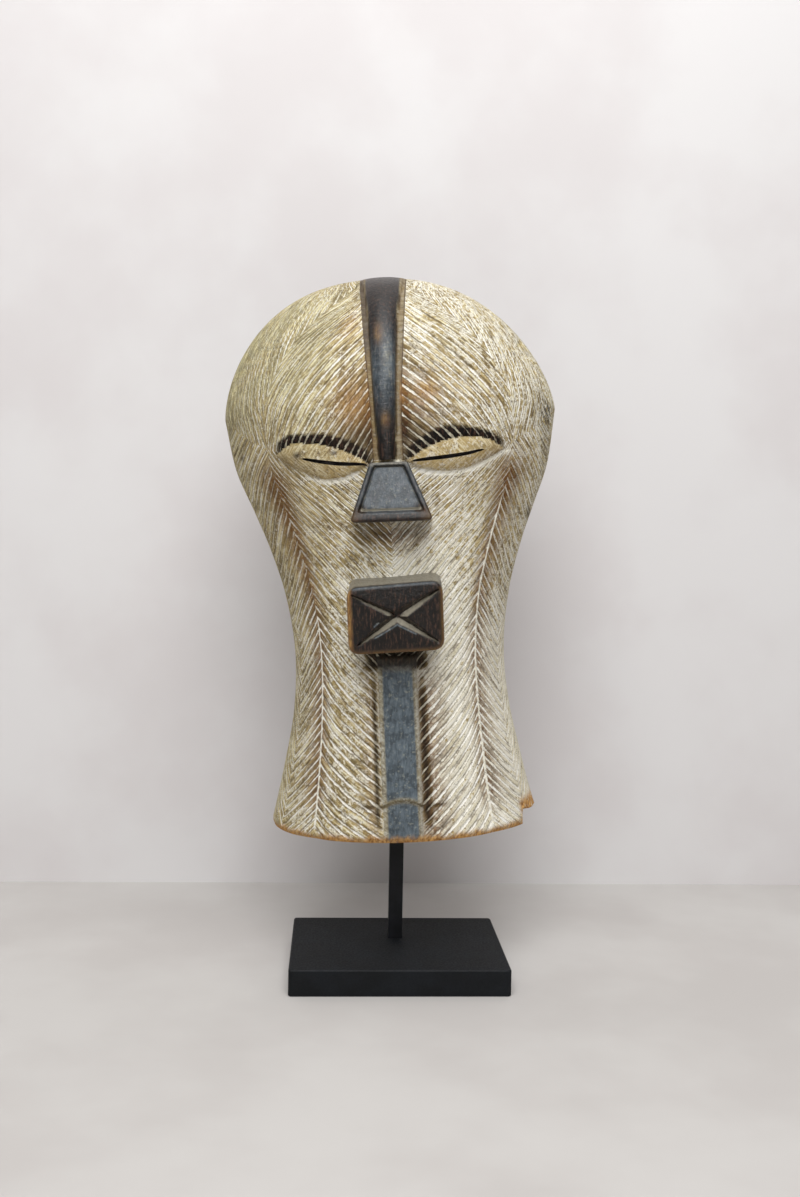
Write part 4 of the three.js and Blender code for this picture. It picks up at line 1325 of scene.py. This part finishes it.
# %% White lines in the grooves, painted shade beside them, crust, haze and specks
width = add("add", add("step", own_share, 0.32, 0.7, 0.01, 0.13), add("step", clay, 0.5, 1.0, 0.0, 0.05))
line = add("step", add("subtract", distance, width), 0.07, 0.0)
for share in (cut, add("step", own_share, 0.33, 0.5, 0.1, 1.0),
              add("step", clay_left, -0.2, 0.4, 0.4, 1.0), add("step", grit, 0.32, 0.46, 0.5, 1.0)):
    line = add("multiply", line, share)
# Painted shade on the walls of each cut, beside its white line.
painted_groove_shade = add("multiply", add("step", distance, 0.32, 0.18, 0.0, 0.55), cut)
crust = add("step", clay, 1.05, 1.5)
haze = add("multiply", film, add("step", add("add", spots, patches), 0.85, 1.1, 0.5, 1.0))
specks = add("multiply", add("step", grit, 0.44, 0.34), add("step", spots, 0.46, 0.58, 0.2, 1.0))
specks = add("multiply", specks, 0.8)
for share, code in ((painted_groove_shade, "5F4A31"), (line, "FBF8EE"), (crust, "F4F0E2"), (haze, "ADA580"),
                    (specks, "40352A")):
    skin = add("mix", share, skin, linear(code))
streaky = add("step", cut, 0.0, 1.0, 0.05, 0.42)
for share, grain, low, high in ((streaky, scratches, 0.38, 0.62), (0.16, grit, 0.35, 0.65)):
    skin = add("mix", share, skin, add("step", grain, low, high, 0.12, 0.88), blend_type="OVERLAY")
print("nodes so far:", len(carved_wood.node_tree.nodes))

# %% [markdown]
# One paint is a sooty black-brown, the other a chalky slate-blue, both brushed on thin. They give the
# eye a deep colour in which the wood's fibres still show upright. A flat colour would look like
# plastic, so each paint is two colours mixed by the fibres. Dust lies on it, and where the wood broke
# off later it is raw and yellow.

# %% Paint, dust and raw wood
paint = add("mix", add("step", fibres, 0.48, 0.68), linear("0F0B09"), linear("453127"))
slate = add("mix", add("step", fibres, 0.3, 0.74), linear("465159"), linear("6D7880"))
for share, code in ((add("step", spots, 0.45, 0.6, 0, 0.6), "31383D"),
                    (add("step", flecks, 0.56, 0.66, 0, 0.5), "9C9E92")):
    slate = add("mix", share, slate, linear(code))
raw = add("mix", add("step", fibres, 0.4, 0.62), linear("C99C5E"), linear("8A5E32"))
painted = add("maximum", dark, blue)
on_paint = add("multiply", add("multiply", line, dark), 0.85)
dust = add("step", add("add", clay, add("multiply", fine, 0.35)), 0.15, 0.75)
dust = add("multiply", add("multiply", painted, dust), add("subtract", 1.0, cut))
# The dark and blue shares also carry painted shade and painted highlights from the mesh.
for share, colour in ((add("multiply", dark, add("step", grit, 0.25, 0.42, 0.8, 1.0)), paint),
                      (on_paint, linear("D8D0B8")),
                      (add("multiply", blue, add("step", grit, 0.2, 0.4, 0.85, 1.0)), slate),
                      (add("multiply", dust, 0.8), linear("969080")),
                      (add("multiply", bare, add("step", spots, 0.3, 0.5, 0.5, 1.0)), raw)):
    skin = add("mix", share, skin, colour)
print("nodes so far:", len(carved_wood.node_tree.nodes))

# %% Fine relief and shine
# Rubbed wood and clay are dull, 0.66 to 0.88 rough. Paint is 0.4 less rough and shines a little more.
FINE_RELIEF_MM = 0.6

height = add("multiply", add("step", distance, 0.0, 0.26, -0.5, 0.0), cut)
for grain, share in ((scratches, 0.6), (flecks, 0.8)):
    height = add("add", height, add("multiply", grain, share))
gloss = add("subtract", painted, cut, use_clamp=True)
rough = add("subtract", add("step", grit, 0.3, 0.7, 0.66, 0.88), add("multiply", gloss, 0.4))
shine = add("step", gloss, 0.0, 1.0, 0.15, 0.34)
add("output", add("surface", skin, rough, shine, add("bump", height, 0.9, FINE_RELIEF_MM * MM)))
print(carved_wood.name, "nodes:", len(carved_wood.node_tree.nodes))

# %% [markdown]
# ## Bare wood of the hollow
# Nobody paints the inside. It is the same light wood, browned by sweat and smoke and left as the
# gouge cut it, so it gives the eye dull brown grain and shallow scoops. The scoops could be modelled
# one by one, but they are only seen from behind, so soft cells in the bump give them.

# %% The hollow's finish
# Sizes in mm. Grain lines, really under 1 mm apart, are drawn 3 mm apart so that they show.
GRAIN, STAIN, SCOOP, SCOOP_RELIEF_MM = 3.0, 40, 13, 1.2

hollow_wood, add = new_material("bare_wood_of_the_hollow")
place_at = add("place")
grain = add("noise", add("stretch", place_at, (1.0, 1.0, 0.08)), per_mm(GRAIN), 5.0, 0.6, 0.4)
scoops = add("cells", add("stretch", place_at, (1.0, 1.0, 0.45)), per_mm(SCOOP), 0.3)
stains = add("noise", place_at, per_mm(STAIN), 3.0, 0.55)
brown_wood = add("mix", add("step", grain, 0.35, 0.65), linear("7A5A3A"), linear("4E3622"))
brown_wood = add("mix", add("step", stains, 0.4, 0.65, 0, 0.6), brown_wood, linear("2E2018"))
height = add("add", scoops, add("multiply", grain, 0.15))
add("output", add("surface", brown_wood, 0.8, 0.5, add("bump", height, 0.6, SCOOP_RELIEF_MM * MM)))
print(hollow_wood.name, "nodes:", len(hollow_wood.node_tree.nodes))

# %% [markdown]
# ## The stand
# Rod and foot are plain shop work: a square steel bar with a satin powder coat, and a flat board
# brushed with black paint. New bevelled boxes could be made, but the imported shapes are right, so they
# are kept and only get better materials. Both coats are one recipe with different numbers.

# %% Coated steel and painted board


def black_coat(name, body, light, pore, rough, relief_mm):
    """A black coat whose colour is cloudy, and whose pores change its gloss and its height."""
    material, add = new_material(name)
    at = add("place")
    cloud = add("noise", at, per_mm(pore * 12), 3.0, 0.55)
    pores = add("noise", at, per_mm(pore), 3.0, 0.6)
    colour = add("mix", add("step", cloud, 0.35, 0.7), linear(body), linear(light))
    gloss = add("step", pores, 0.3, 0.7, rough - 0.06, rough + 0.08)
    add("output", add("surface", colour, gloss, 0.25, add("bump", pores, 0.35, relief_mm * MM)))
    return material


# A powder coat melts on evenly and gives a soft satin sheen. Its dimples are about 0.8 mm wide.
rod_finish = black_coat("black_coated_steel", "0A0B0E", "15161A", pore=0.8, rough=0.45, relief_mm=0.08)
# Brushed paint is duller. The board's pores, really about 0.3 mm, are drawn 1.4 mm wide so they show.
board_finish = black_coat("black_painted_board", "06090D", "0D1116", pore=1.4, rough=0.6, relief_mm=0.15)
print("stand finishes:", rod_finish.name, board_finish.name)

# %% Giving each piece its material
mask.data.materials[0] = carved_wood
mask.data.materials[1] = hollow_wood
inside_faces = np.empty(len(mask.data.polygons), np.int32)
mask.data.polygons.foreach_get("material_index", inside_faces)
print("faces of the hollow:", int(inside_faces.sum()), "of", len(inside_faces))
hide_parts("mask")
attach(mask, "root")


def refinish(node_name, material):
    """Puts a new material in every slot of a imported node, leaving its mesh alone."""
    for slot in frame["nodes"][node_name].material_slots:
        slot.link = "OBJECT"
        slot.material = material


refinish("stand_rod", rod_finish)
refinish("stand_base", board_finish)

# %% [markdown]
# ## Floor, wall and light
# The mask stands on a pale table close before a pale wall, both limewashed, under broad soft light
# from above. Limewash is dull and gives the eye faint clouds where the brush left more of it. Table
# and wall could be one bent sheet, but the photograph shows an edge between them, so they are two flat
# faces. The wall is a little way behind, so the mask throws a wide faint shadow on it.

# %% Floor and wall
# In metres, and the width of a cloud in the limewash in mm
WALL_Y, SHEET_WIDTH, WALL_HEIGHT = 0.225, 8, 5
CLOUD = 170


def sheet(name, size_x, size_y, centre, upright):
    """A flat square face with its middle at a centre, lying or standing."""
    x, y = size_x / 2, size_y / 2
    flat = np.array([[-x, -y], [x, -y], [x, y], [-x, y]])
    points = np.insert(flat, 1 if upright else 2, 0.0, axis=1) + np.array(centre)
    return make_mesh(name, points / MM, np.array([[0, 1, 2, 3]]))


def limewash(name, pale, deep):
    """Pale limewash: 0.9 rough, with soft clouds of a deeper tone."""
    material, add = new_material(name)
    cloud = add("noise", add("place"), per_mm(CLOUD), 4.0, 0.55)
    colour = add("mix", add("step", cloud, 0.35, 0.65), linear(pale), linear(deep))
    add("output", add("surface", colour, 0.9))
    return material


floor = sheet("floor", SHEET_WIDTH, SHEET_WIDTH, (0, WALL_Y - SHEET_WIDTH / 2, 0), upright=False)
wall = sheet("backdrop", SHEET_WIDTH, WALL_HEIGHT, (0, WALL_Y, WALL_HEIGHT / 2), upright=True)
floor.data.materials.append(limewash("pale_table", "C8C5C2", "C0BCB9"))
wall.data.materials.append(limewash("pale_wall", "DFDDDD", "D8D4D4"))
print("wall behind the mask in metres:", WALL_Y)

# %% Light


def soft_light(name, size, watts, at, towards, colour="FFFFFF"):
    """A square area light at a place, turned towards another."""
    light = bpy.data.lights.new(name, "AREA")
    light.shape, light.size, light.energy = "SQUARE", size, watts
    light.color = linear(colour)[:3]
    obj = bpy.data.objects.new(name, light)
    obj.location = at
    aim = Vector(towards) - Vector(at)
    obj.rotation_euler = aim.to_track_quat("-Z", "Y").to_euler()
    bpy.context.scene.collection.objects.link(obj)


soft_light("light_front_above", 1.3, 27, (-0.1, -1.45, 1.5), (0, 0.1, 0.22))
soft_light("light_top", 1.0, 12, (0.0, -0.45, 1.7), (0, WALL_Y, 0.9))
world = bpy.data.worlds.new("room")
world.use_nodes = True
room = world.node_tree.nodes["Background"].inputs
room["Color"].default_value = linear("F4F3F0")
room["Strength"].default_value = 0.22
bpy.context.scene.world = world
bpy.context.scene.view_settings.view_transform = "Standard"
print("lights:", [light.name for light in bpy.data.lights])

# %% [markdown]
# ## The camera
# It could be set by eye, but then sizes drift. Its place and angles were worked out from the edges of
# the stand and the mask in the photograph. The columns of its matrix are its right, up and backward
# directions.

# %% Camera
FRAME_LONG_SIDE_PX, FOCAL_PX, SENSOR_MM = 1197, 1245.6, 36.0
CAMERA_AT = np.array([-47.9, -881.6, 298.7]) * MM
CAMERA_YAW, CAMERA_PITCH, CAMERA_ROLL = np.radians([2.99, 2.21, -1.05])

forward = np.array([math.sin(CAMERA_YAW) * math.cos(CAMERA_PITCH),
                    math.cos(CAMERA_YAW) * math.cos(CAMERA_PITCH), -math.sin(CAMERA_PITCH)])
level_right = np.array([math.cos(CAMERA_YAW), -math.sin(CAMERA_YAW), 0])
level_down = np.cross(forward, level_right)
right = level_right * math.cos(CAMERA_ROLL) + level_down * math.sin(CAMERA_ROLL)
down = level_down * math.cos(CAMERA_ROLL) - level_right * math.sin(CAMERA_ROLL)

camera_data = bpy.data.cameras.new("camera")
camera_data.sensor_width = SENSOR_MM
camera_data.lens = FOCAL_PX * camera_data.sensor_width / FRAME_LONG_SIDE_PX
camera = bpy.data.objects.new("camera", camera_data)
turn = Matrix(np.column_stack([right, -down, -forward]).tolist()).to_4x4()
camera.matrix_world = Matrix.Translation(CAMERA_AT.tolist()) @ turn
bpy.context.scene.collection.objects.link(camera)
bpy.context.scene.camera = camera
print("lens mm:", round(camera_data.lens, 2))
